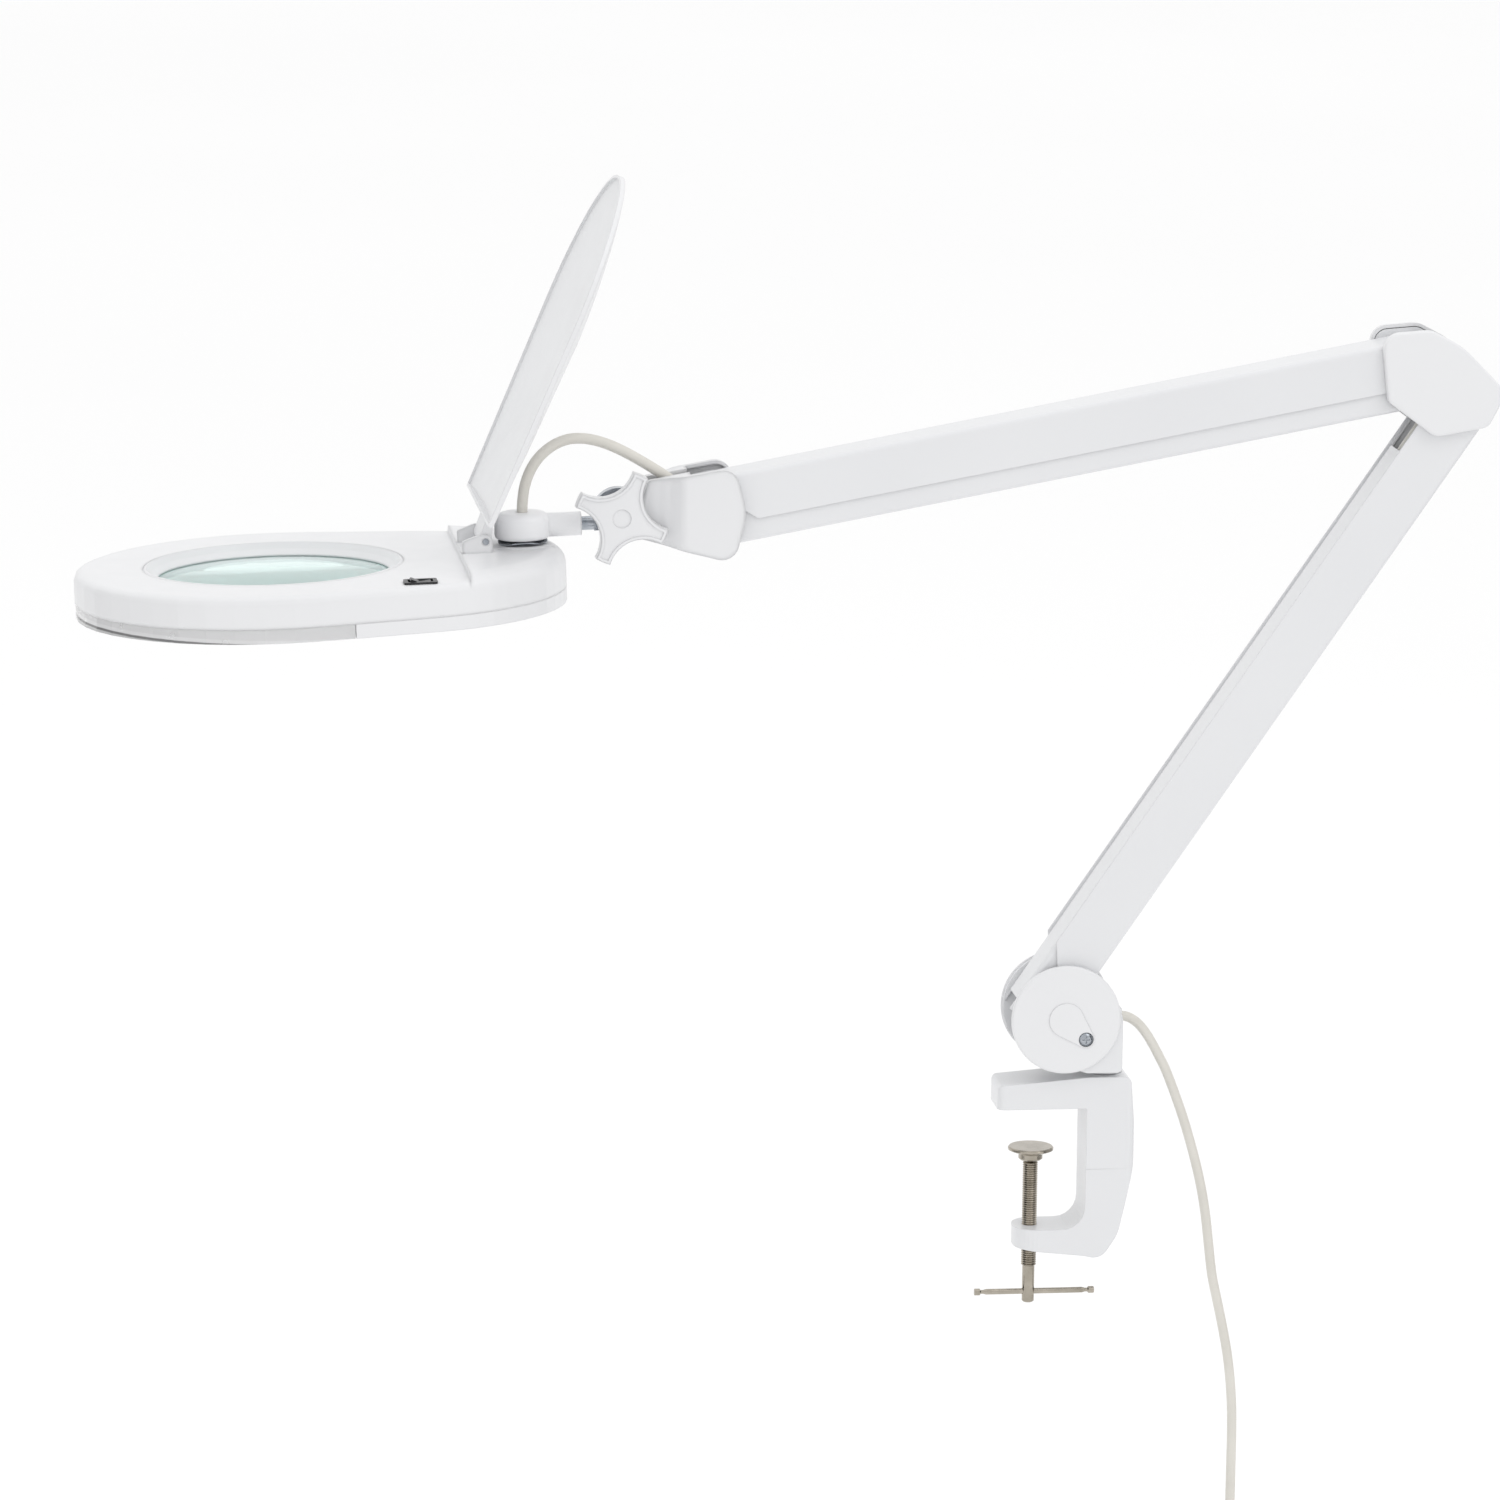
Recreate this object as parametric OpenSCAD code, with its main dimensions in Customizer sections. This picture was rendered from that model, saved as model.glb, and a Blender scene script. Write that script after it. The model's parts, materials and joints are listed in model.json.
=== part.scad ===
// Clamp-on magnifier lamp. Two spring-balanced parallelogram arms run inside folded
// sheet-metal channels and carry a tilting, swivelling lens head with a hinged cover.
// Millimetres. The origin lies on the table top, under the upper jaw and over the clamp
// screw. X runs to the right in the plane of the arms, Y to the back, Z up.

/* [Pose] */
// Slope of the lower arm above the table
lower_slope = 55.8; // [54:0.1:58]
// Slope of the upper arm, its head end low
upper_slope = 10.85; // [9:0.05:13]
// Droop of the head towards its front edge
head_droop = 2; // [0:0.1:4]
// Slope of the open lens cover above the head's top face
cover_open = 65; // [62:0.5:66]

/* [Arms] */
// Lower arm, pivot to pivot
lower_len = 477; // [440:1:520]
// Upper arm, pivot to pivot
upper_len = 460; // [420:1:500]
// Width of the outer channels over their side walls
arm_w = 36; // [34:0.5:40]
// Sheet thickness of all four channels
sheet = 1.5; // [1.2:0.1:1.8]
// Outside radius of the channel bends
bend_r = 3.5; // [3:0.1:4.5]
// Depth of the lower outer channel
lower_depth = 36; // [34:0.5:38]
// Depth of the upper outer channel
upper_depth = 31; // [29:0.5:33]
// Depth of the lower link channel
lower_link_depth = 16; // [14:0.5:17]
// Depth of the upper link channel
upper_link_depth = 20; // [17:0.5:22]
// Distance from an outer channel's pivot to the back of its web
web_back = 9; // [8:0.5:10]
// Distance from a link channel's pivot to the back of its web
link_back = 8; // [7:0.5:9]
// Spacing of the lower arm's two pivots
lower_pin_gap = 18.6; // [18:0.1:19.5]
// Spacing of the upper arm's two pivots
upper_pin_gap = 28.2; // [27:0.1:30]
// Gap between a link channel and the channel around it, each side
nest_gap = 0.5; // [0.4:0.1:0.8]

/* [Pivots] */
// Radius of the pivot pins
pin_r = 3; // [2.5:0.1:3.5]
// Radial running clearance of every turning fit
run_gap = 0.05; // [0.03:0.01:0.08]
// Gap between the channels and the plates beside them
side_gap = 0.4; // [0.3:0.1:0.6]
// Thickness of the steel elbow and bracket plates
plate_t = 2; // [1.6:0.1:2.4]
// Thickness of the elbow and bracket covers
cover_t = 2.2; // [1.8:0.1:2.6]
// Depth of the hollow in a cover, over the plate behind it
cover_hollow = 1.9; // [1.8:0.1:2.6]

/* [Springs] */
// Radius of a balance spring's coil
spring_r = 5.2; // [4.6:0.1:5.4]
// Length of the lower springs' coils
lower_spring_len = 112; // [90:1:130]
// Length of the upper springs' coils
upper_spring_len = 126; // [100:1:150]
// Spring wire radius
wire_r = 1; // [0.8:0.1:1.1]
// Sideways distance of each spring from the middle of the arm
spring_y = 8; // [7.6:0.1:8.4]
// Radius of the pins that the springs hook on
anchor_r = 2; // [1.8:0.1:2.2]

/* [Base] */
// Height of the cheek centre above the table
cheek_z = 61.5; // [58:0.5:66]
// Radius of the round cheek covers
cheek_r = 36; // [34:0.5:38]
// Thickness of each housing cheek
cheek_t = 3.5; // [3:0.1:4]
// Thickness of each round cover
cheek_cover_t = 3; // [2.5:0.1:3.5]
// Distance from the clamp screw to the swivel axis
swivel_x = 48; // [47:0.5:50]
// Radius of the swivel pin
swivel_r = 6; // [5:0.5:6.5]

/* [Clamp] */
// Width of the clamp across the table edge
clamp_w = 36; // [34:0.5:40]
// Thickness of the upper jaw at its nose
jaw_t = 16; // [14:0.5:17]
// Rise of the upper jaw from its nose to the swivel seat
seat_rise = 5; // [4:0.5:6]
// Opening between the jaws
jaw_gap = 82; // [76:1:90]
// Reach of the upper jaw on the table side of the screw
jaw_reach = 25; // [22:0.5:28]
// Distance from the screw axis to the throat
throat = 34; // [32:0.5:35]
// Thickness of the spine
spine_t = 32; // [30:0.5:34]
// Thickness of the lower jaw
low_jaw_t = 13; // [12:0.5:15]
// Radius of the clamp screw's thread
screw_r = 5; // [4.5:0.1:5.5]
// Height of the clamped table, for the pad's rest position
table_t = 28.6; // [20:0.1:40]
// Length of the clamp screw below the pad
screw_len = 97; // [95:1:110]
// Length of the tommy bar
bar_len = 80; // [70:1:90]
// Radius of the tommy bar
bar_r = 1.9; // [1.6:0.1:2.2]

/* [Head] */
// Radius of the head round the lens
head_r = 127; // [124:0.5:130]
// Width of the ring between the lens and the head's round edge
ring_w = 52; // [49:0.5:55]
// How much smaller the tail's radius is than the head's
tail_taper = 15; // [11:0.5:19]
// Distance from the lens to the tail's centre
tail_x = 75; // [70:0.5:80]
// Height of the head housing
head_h = 20.4; // [20:0.1:24]
// Height of the diffuser and of the tail base
base_h = 9; // [8:0.1:11]
// Wall of the head's mouldings
head_wall = 2.4; // [2:0.1:2.8]
// Thickness of the lens at its middle
lens_t = 13; // [11:0.5:14]
// Thickness of the lens at its rim
lens_edge = 3; // [2.5:0.1:4]
// Depth of the lens rim below the top face
lens_sink = 8; // [7:0.1:9]
// Distance of the neck's swivel axis behind the head's round edge
neck_back = 33; // [29:0.5:36]
// Number of light-emitting diodes in the ring
led_count = 30; // [18:2:36]
// Height of the tail deck over the top face, which the closed cover meets
tail_step = 5; // [4:0.2:5.6]

/* [Lens cover] */
// How much smaller the cover's round front is than the head
lid_inset = 35; // [33:0.5:39]
// Reach of the cover past the lens's middle
lid_reach = 111.5; // [106:0.5:113]
// Half the cover's width at its hinge end
lid_end_w = 86.5; // [80:0.5:86.5]
// Thickness of the cover's sheet
lid_t = 2; // [1.6:0.1:2.4]
// Depth of the cover's lip
lid_lip = 3.4; // [2.8:0.1:4]
// Height of the cover's dome over its lip
lid_dome = 12; // [9:0.5:14]
// Distance of the hinge behind the head's round edge
hinge_back = 7.5; // [5:0.5:9]
// Height of the hinge over the head's top face
hinge_z = 12; // [11.6:0.1:12.4]

/* [Neck] */
// Distance from the tilt bolt to the swivel axis
neck_reach = 61.7; // [60:0.1:66]
// Radius of the swivel dome
dome_r = 18; // [16:0.5:19]
// Height of the swivel dome
dome_h = 17; // [16:0.5:18]
// Radius of the steel rod
rod_r = 4.5; // [4:0.1:5]
// Radius of the dome's side sleeve
sleeve_r = 7.7; // [7:0.1:7.8]

/* [Knob] */
// Radius over the knob's four lobes
knob_r = 30.4; // [28:0.2:32]
// Thickness of the knob
knob_t = 10; // [8:0.5:12]
// Radius at the knob's waist
waist_r = 16; // [14:0.5:18]
// Width of a lobe's end
lobe_w = 10; // [8:0.5:12]

/* [Cables] */
// Radius of the mains cord
cord_r = 3.2; // [3:0.1:3.5]
// Radius of the lamp cable in the arms and at the head
cable_r = 3.2; // [2.8:0.1:3.4]

/* [Hidden] */
$fn = 48;
eps = 0.01;

// Directions in the plane of the arms, by slope in degrees
function toward(a) = [cos(a), 0, sin(a)];

// Rest angles of the two arms, from base to elbow and from elbow to head
lower_a = lower_slope;
upper_a = 180 + upper_slope;

// Pivot points at rest
cheek = [18, 0, cheek_z];
base_pin = cheek + [-5.8, 0, 3.9];
lower_gap_v = lower_pin_gap * toward(160);
base_link_pin = base_pin + lower_gap_v;
elbow_low = base_pin + lower_len * toward(lower_a);
elbow_low_link = elbow_low + lower_gap_v;
elbow_up = elbow_low + [-44.4, 0, 37.2];
upper_gap_v = upper_pin_gap * toward(-85);
elbow_up_link = elbow_up + upper_gap_v;
bracket_pin = elbow_up + upper_len * toward(upper_a);
bracket_link_pin = bracket_pin + upper_gap_v;
tilt_pin = bracket_pin + [-60, 0, -15];
base_anchor = cheek + [-22.8, 0, -8.7];
elbow_anchor = elbow_up + [20, 0, -8.6];

// Sideways stack, from the middle of the arm outwards
arm_y = arm_w / 2;
plate_y = arm_y + side_gap;
plate_out = plate_y + plate_t;
cover_in = plate_out + cover_hollow;
cover_out = cover_in + cover_t;
link_w = arm_w - 2 * sheet - 2 * nest_gap;
cheek_in = arm_y + side_gap;
cheek_out = cheek_in + cheek_t;
hole_r = pin_r + run_gap;

// Head sizes that follow from its round edge
lens_r = head_r - ring_w;
tail_r = head_r - tail_taper;
neck_x = head_r + neck_back;
hinge_x = head_r + hinge_back;

// Neck and head placement
tilt_rise = 14;
rod_h = 8;
deck_drop = 9.4;
washer_gap = 3.4;
swivel_p = tilt_pin - neck_reach * toward(head_droop) - tilt_rise * toward(head_droop + 90);
head_p = swivel_p - neck_x * toward(head_droop) - deck_drop * toward(head_droop + 90);
hinge_p = head_p + hinge_x * toward(head_droop) + hinge_z * toward(head_droop + 90);

// Route of the mains cord, from the gland to the coil
CORD = [[52, 58.2], [57, 58.2], [61.5, 57.6], [66, 55.6], [71, 51.5], [76, 45],
    [80.5, 37.5], [85, 29], [89, 21],
    [95, 6], [101, -10.5], [106.5, -28], [111.5, -46], [115.5, -63.5], [118.5, -81.5],
    [120.8, -100], [123.5, -120], [127.5, -138], [131.5, -156], [135, -174],
    [137.5, -192.5], [139, -211.5], [139.5, -231], [139.5, -251], [139.5, -271],
    [139.5, -291], [139.5, -308], [139.5, -319]];
coil_mid_r = 35;
coil_wrap = 10.6;
coil_c = [97.8, 3.2, -338];
plug_p = [139.5, 6.4, -366];

// Route of the lamp cable from the bracket to the dome
LEAD = [[-43.6, 6.5], [-40, 3], [-35, -1], [-24, -8], [-13.5, -14.2], [-3.3, -19.5],
    [7, -23.6], [17.5, -25.9], [28, -25.6], [38, -21.6], [46.5, -14.5], [52.5, -5.5],
    [56, 4.6], [57.4, 15], [57.6, 25], [57.6, 35]];

// Rounded outlines: each corner is [x, y, radius]
function xy(p) = [p[0], p[1]];
function unit(v) = v / norm(v);
function corner(a, p, b, r, n) = r <= 0 ? [p] :
    let (ua = unit(a - p), ub = unit(b - p), half = acos(ua * ub) / 2,
         s = p + ua * r / tan(half), e = p + ub * r / tan(half),
         c = p + unit(ua + ub) * r / sin(half),
         a0 = atan2(s.y - c.y, s.x - c.x), a1 = atan2(e.y - c.y, e.x - c.x),
         turn = a1 - a0 > 180 ? a1 - a0 - 360 : a1 - a0 < -180 ? a1 - a0 + 360 : a1 - a0)
    [for (i = [0 : n]) c + r * [cos(a0 + turn * i / n), sin(a0 + turn * i / n)]];
function rounded(pts, n = 5) = [for (i = [0 : len(pts) - 1])
    each corner(xy(pts[(i + len(pts) - 1) % len(pts)]), xy(pts[i]),
                xy(pts[(i + 1) % len(pts)]), pts[i][2], n)];

// Outline round two circles, the second one at distance d along x, drawn in by e
function egg(r1, r2, d, e = 0, n = 24) =
    let (t = asin((r1 - r2) / d))
    concat([for (i = [0 : n]) let (a = 90 - t + (180 + 2 * t) * i / n)
               (r1 - e) * [cos(a), sin(a)]],
           [for (i = [0 : n]) let (a = -90 + t + (180 - 2 * t) * i / n)
               [d, 0] + (r2 - e) * [cos(a), sin(a)]]);

// Solid through a stack of rings that have equal numbers of points
module loft(rings) {
    n = len(rings[0]);
    m = len(rings);
    polyhedron(
        points = [for (ring = rings) each ring],
        faces = concat(
            [[for (i = [0 : n - 1]) i]],
            [for (k = [0 : m - 2]) for (i = [0 : n - 1])
                [k * n + i, (k + 1) * n + i, (k + 1) * n + (i + 1) % n, k * n + (i + 1) % n]],
            [[for (i = [n - 1 : -1 : 0]) (m - 1) * n + i]]));
}

// Solid through a stack of rings that aren't flat, in triangles
module skin(rings) {
    n = len(rings[0]);
    m = len(rings);
    polyhedron(
        points = concat([for (ring = rings) each ring], [centre_of(rings[0]), centre_of(rings[m - 1])]),
        faces = concat(
            [for (i = [0 : n - 1]) [i, (i + 1) % n, m * n]],
            [for (k = [0 : m - 2]) for (i = [0 : n - 1]) [k * n + i, (k + 1) * n + i, k * n + (i + 1) % n]],
            [for (k = [0 : m - 2]) for (i = [0 : n - 1])
                [(k + 1) * n + i, (k + 1) * n + (i + 1) % n, k * n + (i + 1) % n]],
            [for (i = [0 : n - 1]) [(m - 1) * n + (i + 1) % n, (m - 1) * n + i, m * n + 1]]));
}

// Mean of a ring's points
function centre_of(ring) = [for (i = [0 : 2]) let (c = [for (p = ring) p[i]]) c * [for (v = c) 1] / len(c)];

// Round tube along a path of [x, z] points in the plane of the arms
module tube(path, r, sides) {
    last = len(path) - 1;
    loft([for (i = [0 : last])
        let (t = unit(path[min(i + 1, last)] - path[max(i - 1, 0)]))
        [for (k = [0 : sides - 1]) let (a = 360 * k / sides)
            [path[i].x - t.y * r * cos(a), -r * sin(a), path[i].y + t.x * r * cos(a)]]]);
}

// Solid of an outline in the arm plane, between two distances from the middle
module side_slab(pts, y0, y1) {
    translate([0, y1, 0]) rotate([90, 0, 0]) linear_extrude(y1 - y0) polygon(pts);
}

// A copy on each side of the middle
module both_sides() {
    children();
    mirror([0, 1, 0]) children();
}

// Pin across the arm plane
module cross_pin(p, r, half) {
    translate(p + [0, half, 0]) rotate([90, 0, 0]) cylinder(r = r, h = 2 * half);
}

// Frame of an arm: x runs from its first pivot to its second
module along(p, a) {
    translate(p) rotate([0, -a, 0]) children();
}

// Cross-section of a folded channel, its web at the bottom
module channel_profile(w, depth) {
    r = bend_r;
    t = sheet;
    outer = rounded([[-w / 2, 0, r], [w / 2, 0, r], [w / 2, depth, 0], [-w / 2, depth, 0]]);
    inner = rounded([[-w / 2 + t, t, r - t], [w / 2 - t, t, r - t],
                     [w / 2 - t, depth + 1, 0], [-w / 2 + t, depth + 1, 0]]);
    difference() {
        polygon(outer);
        polygon(inner);
    }
}

// Straight channel with its web at z0, opening towards +z
module channel(x0, x1, z0, w, depth) {
    translate([x0, 0, z0]) rotate([90, 0, 90])
        linear_extrude(x1 - x0) channel_profile(w, depth);
}

// Outer channel: pivots at x = 0 and x = len, side walls cut back at both ends
module outer_channel(len, depth, cut_a, cut_b) {
    top = depth - web_back;
    ear = pin_r + 5.5;
    wall = rounded([[-ear, -web_back - 1, 0], [len + ear, -web_back - 1, 0],
        [len + ear, ear, ear * 0.8], [len - ear - 1, ear, 3], [len - cut_b, top + 1, 0],
        [cut_a, top + 1, 0], [ear + 7, ear + 1, 3], [-ear, ear, ear * 0.8]]);
    difference() {
        intersection() {
            channel(-ear, len + ear, -web_back, arm_w, depth);
            side_slab(wall, -arm_w, arm_w);
        }
        cross_pin([0, 0, 0], hole_r, arm_w);
        cross_pin([len, 0, 0], hole_r, arm_w);
    }
}

// Link channel: its web is on the +z side, its open side faces the outer channel.
// The pivot at x = 0 is the close one, the one at x = len is opened by open_gap.
module link_channel(len, depth, tail_a, tail_b, web_cut_a, web_cut_b) {
    low = link_back - depth;
    wall = rounded([[-tail_a, low, 4], [len + tail_b, low, 4],
        [len + tail_b, link_back + 1, 0], [-tail_a + 2, link_back + 1, 0]]);
    difference() {
        intersection() {
            mirror([0, 0, 1]) channel(-tail_a, len + tail_b, -link_back, link_w, depth);
            side_slab(wall, -arm_w, arm_w);
        }
        translate([-tail_a - 1, -link_w / 2 + bend_r, link_back - 2 * sheet])
            cube([web_cut_a + 1, link_w - 2 * bend_r, 4 * sheet]);
        translate([len + tail_b - web_cut_b, -link_w / 2 + bend_r, link_back - 2 * sheet])
            cube([web_cut_b + 1, link_w - 2 * bend_r, 4 * sheet]);
        cross_pin([0, 0, 0], hole_r, arm_w);
        cross_pin([len, 0, 0], pin_r + open_gap, arm_w);
    }
}
open_gap = 0.35;

// Close-wound spring along x with a hook at each end
module spring(x0, x1, body_len) {
    mid = (x0 + x1) / 2;
    turns = floor(body_len / (2 * wire_r) / 3);
    pitch = body_len / turns;
    hook = anchor_r + wire_r + 0.15;
    rotate([0, 90, 0]) translate([0, 0, mid - body_len / 2])
        rotate_extrude($fn = 24) polygon(concat(
            [[spring_r - 2 * wire_r, 0]],
            [for (i = [0 : turns - 1]) each [[spring_r - 0.4 * wire_r, pitch * i],
                [spring_r, pitch * (i + 0.5)]]],
            [[spring_r - 0.4 * wire_r, body_len], [spring_r - 2 * wire_r, body_len]]));
    for (s = [[x0, mid - body_len / 2, 1], [x1, mid + body_len / 2, -1]]) {
        shank = abs(s[1] - s[0]) - hook + 1.5;
        translate([s[0] + s[2] * hook, 0, 0]) rotate([0, s[2] * 90, 0])
            cylinder(r = wire_r, h = shank, $fn = 16);
        translate([s[1] + s[2] * 0.7, 0, 0]) rotate([0, 90, 0])
            cylinder(r = spring_r - wire_r, h = 1.4, center = true, $fn = 24);
        translate([s[0], 0, 0]) rotate([90, 0, 0]) rotate_extrude($fn = 24)
            translate([hook, 0]) circle(r = wire_r, $fn = 16);
    }
}

module spring_pair(p, a, x1, body_len) {
    length = norm([x1.x - p.x, 0, x1.z - p.z]);
    for (s = [-1, 1])
        translate([0, s * spring_y, 0]) along(p, a) spring(0, length, body_len);
}

// ---- Clamp ----

spine_x = throat + spine_t;

module clamp_frame() {
    low = -jaw_gap - low_jaw_t;
    side = rounded([[-jaw_reach, jaw_t, 4], [swivel_x - 13, seat_z, 12],
        [spine_x - 3, seat_z, 5], [spine_x, -12, 30],
        [spine_x, -40, 60], [spine_x - 10, -jaw_gap - 4, 30],
        [spine_x - 21, low - 7.5, 10], [throat, low - 5, 20], [-14, low, 4],
        [-14, -jaw_gap, 3], [throat, -jaw_gap, 15], [throat, 0, 1.2],
        [-jaw_reach, 0, 0]], 6);
    nose = rounded([[-jaw_reach, -clamp_w / 2, 5], [spine_x + 1, -clamp_w / 2, 6],
        [spine_x + 1, clamp_w / 2, 6], [-jaw_reach, clamp_w / 2, 5]]);
    low_nose = rounded([[-11.5, -clamp_w / 2 + 1, 15], [spine_x + 1, -clamp_w / 2, 6],
        [spine_x + 1, clamp_w / 2, 6], [-11.5, clamp_w / 2 - 1, 15]], 8);
    color("white") difference() {
        intersection() {
            side_slab(side, -clamp_w, clamp_w);
            union() {
                translate([0, 0, -jaw_gap / 2]) linear_extrude(jaw_gap) polygon(nose);
                translate([0, 0, 2 * low]) linear_extrude(-2 * low - jaw_gap / 2)
                    polygon(low_nose);
            }
        }
        translate([0, 0, low - 10]) cylinder(r = screw_r + run_gap, h = low_jaw_t + 20);
        translate([swivel_x, 0, seat_z - bush_len])
            cylinder(r = bush_r + run_gap, h = bush_len + 1);
    }
}
seat_z = jaw_t + seat_rise;
bush_r = swivel_r + 2;
bush_len = 34;

module swivel_bush() {
    color("whitesmoke") translate([swivel_x, 0, seat_z - bush_len]) difference() {
        cylinder(r = bush_r, h = bush_len);
        translate([0, 0, 2]) cylinder(r = swivel_r + run_gap, h = bush_len);
    }
}

// The pad's cup is swaged over the ball end of the screw
pad_r = 15;
ball_r = 4;
pad_top = -table_t - 0.4;
pad_h = 9;

module pressure_pad() {
    color("silver") translate([0, 0, pad_top - pad_h]) difference() {
        rotate_extrude() polygon([[0, 0], [7, 0], [8, 1], [8, 4], [pad_r - 2, 6],
            [pad_r, 7], [pad_r, pad_h - 0.8], [pad_r - 0.8, pad_h], [0, pad_h]]);
        translate([0, 0, -1]) cylinder(r = ball_r + run_gap, h = 7.6);
    }
}

screw_top = pad_top - pad_h + 6.5;
screw_end = pad_top - pad_h - screw_len;
bar_z = screw_end + 7;

module clamp_screw() {
    pitch = 1.5;
    thread_top = pad_top - pad_h - 1;
    thread_end = screw_end + 25;
    turns = floor((thread_top - thread_end) / pitch);
    root = screw_r - 0.75;
    color("tan") difference() {
        rotate_extrude() polygon(concat(
            [[0, screw_end], [root - 1, screw_end], [root - 0.2, screw_end + 0.8],
                [root - 0.2, thread_end]],
            [for (i = [0 : turns - 1]) each [[root, thread_end + pitch * i],
                [screw_r, thread_end + pitch * (i + 0.4)],
                [screw_r, thread_end + pitch * (i + 0.6)]]],
            [[root, thread_end + pitch * turns], [ball_r - 0.6, thread_top],
                [ball_r - 0.6, thread_top + 1.2], [ball_r, thread_top + 2],
                [ball_r, screw_top - 1], [ball_r - 1, screw_top], [0, screw_top]]));
        translate([-screw_r - 1, 0, bar_z]) rotate([0, 90, 0])
            cylinder(r = bar_r + run_gap, h = 2 * screw_r + 2);
    }
}

module tommy_bar() {
    rest_shift = 4;
    color("tan") translate([rest_shift - bar_len / 2, 0, bar_z]) rotate([0, 90, 0])
        rotate_extrude() polygon([[0, 0], [bar_r + 0.2, 0], [bar_r + 0.4, 0.6],
            [bar_r + 0.4, 3.6], [bar_r - 0.6, 4.4], [bar_r - 0.6, 6], [bar_r - 0.5, 6.2],
            [bar_r, 8], [bar_r, bar_len - 8], [bar_r - 0.5, bar_len - 6.2],
            [bar_r - 0.6, bar_len - 6], [bar_r - 0.6, bar_len - 4.4],
            [bar_r + 0.4, bar_len - 3.6], [bar_r + 0.4, bar_len - 0.6],
            [bar_r + 0.2, bar_len], [0, bar_len]]);
}

// ---- Base ----

washer_t = 3.4;
housing_z = seat_z + washer_t + 0.4;
housing_back = swivel_x + 8;
gland_z = 58.2;

module base_housing() {
    floor_top = housing_z + 9;
    inner_r = cheek_r - 1;
    color("white") difference() {
        union() {
            for (s = [-1, 1]) translate([0, s * (cheek_in + cheek_t / 2), 0]) {
                translate(cheek) rotate([90, 0, 0])
                    cylinder(r = inner_r, h = cheek_t, center = true, $fn = 96);
                translate([0, cheek_t / 2, 0]) rotate([90, 0, 0]) linear_extrude(cheek_t)
                    polygon(rounded([[swivel_x - 15, housing_z, 4], [housing_back, housing_z, 3],
                        [housing_back, cheek_z + 7, 8], [cheek.x, cheek_z + 7, 0],
                        [cheek.x, cheek_z - inner_r + 3, 0]]));
            }
            translate([0, 0, housing_z]) linear_extrude(floor_top - housing_z)
                polygon(rounded([[swivel_x - 15, -cheek_out, 4], [housing_back, -cheek_out, 6],
                    [housing_back, cheek_out, 6], [swivel_x - 15, cheek_out, 4]]));
            translate([housing_back - 6, -cheek_out, floor_top - eps])
                linear_extrude(cheek_z + 5 - floor_top)
                polygon(rounded([[0, 0, 0], [6, 0, 5.5], [6, 2 * cheek_out, 5.5],
                    [0, 2 * cheek_out, 0]]));
        }
        for (p = [base_pin, base_link_pin]) cross_pin(p, hole_r, cheek_out + 1);
        cross_pin(base_anchor, anchor_r + run_gap, cheek_out + 1);
        for (s = [-1, 1]) translate([cover_screw.x, s * cheek_out, cover_screw.z])
            rotate([90, 0, 0]) cylinder(r = 2 + run_gap, h = 6, center = true);
        translate([swivel_x, 0, housing_z - 1]) cylinder(r = swivel_r + run_gap, h = 7);
        translate([housing_back - 10, 0, gland_z]) rotate([0, 90, 0])
            cylinder(r = gland_r + run_gap, h = 12);
    }
}
gland_r = 5;
cover_screw = cheek + [13.2, 0, -13.2];

// Round cover with a raised drop that runs out at its screw
module cheek_cover() {
    y0 = cheek_out + 0.02;
    y1 = y0 + cheek_cover_t;
    drop = egg(11.4, 5.6, 18.6);
    color("white") difference() {
        union() {
            translate(cheek + [0, -y0, 0]) rotate([90, 0, 0]) rotate_extrude($fn = 96)
                polygon(concat([[0, 0], [cheek_r, 0]],
                    [for (i = [0 : 5]) [cheek_r - 1.5 + 1.5 * cos(18 * i),
                        cheek_cover_t - 1.5 + 1.5 * sin(18 * i)]], [[0, cheek_cover_t]]));
            translate(cheek + [0, -y1 + 0.3, 0]) rotate([90, 0, 0]) rotate([0, 0, -45])
                linear_extrude(0.9) polygon(drop);
        }
        translate([cover_screw.x, -y1 - 1, cover_screw.z]) rotate([-90, 0, 0])
            cylinder(r = 4.9, h = 2.6);
        translate([cover_screw.x, -y1 - 2, cover_screw.z]) rotate([-90, 0, 0])
            cylinder(r = 2 + run_gap, h = 8);
    }
}

module base_cover_near() { cheek_cover(); }

module base_cover_far() { mirror([0, 1, 0]) cheek_cover(); }

module base_cover_screws() {
    y1 = cheek_out + 0.02 + cheek_cover_t;
    color("silver") both_sides() translate([cover_screw.x, -y1 - 0.5, cover_screw.z])
        rotate([-90, 0, 0]) difference() {
            rotate_extrude() polygon([[0, 0], [3, 0], [4.6, 1], [4.6, 1.9], [2, 1.9],
                [2, cheek_cover_t + 3], [0, cheek_cover_t + 3]]);
            translate([0, 0, 0.5]) {
                cube([5, 0.9, 1.4], center = true);
                cube([0.9, 5, 1.4], center = true);
            }
        }
}

// Shoulder pin with a groove and a snap ring at each end
module ringed_pin(p, half) {
    cross_pin(p, pin_r, half);
}

module base_pivot_pins() {
    color("silver") for (p = [base_pin, base_link_pin]) ringed_pin(p, cheek_out - 0.2);
}

module base_spring_anchor() {
    color("silver") cross_pin(base_anchor, anchor_r, cheek_out - 0.2);
}

module swivel_pin() {
    color("silver") translate([swivel_x, 0, seat_z - bush_len + 2.3])
        cylinder(r = swivel_r, h = housing_z + 5.5 - (seat_z - bush_len + 2.3));
}

module swivel_washer() {
    color("gainsboro") translate([swivel_x, 0, seat_z + 0.3]) difference() {
        cylinder(r = 11.6, h = washer_t);
        translate([0, 0, -1]) cylinder(r = swivel_r + run_gap, h = washer_t + 2);
    }
}

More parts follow.
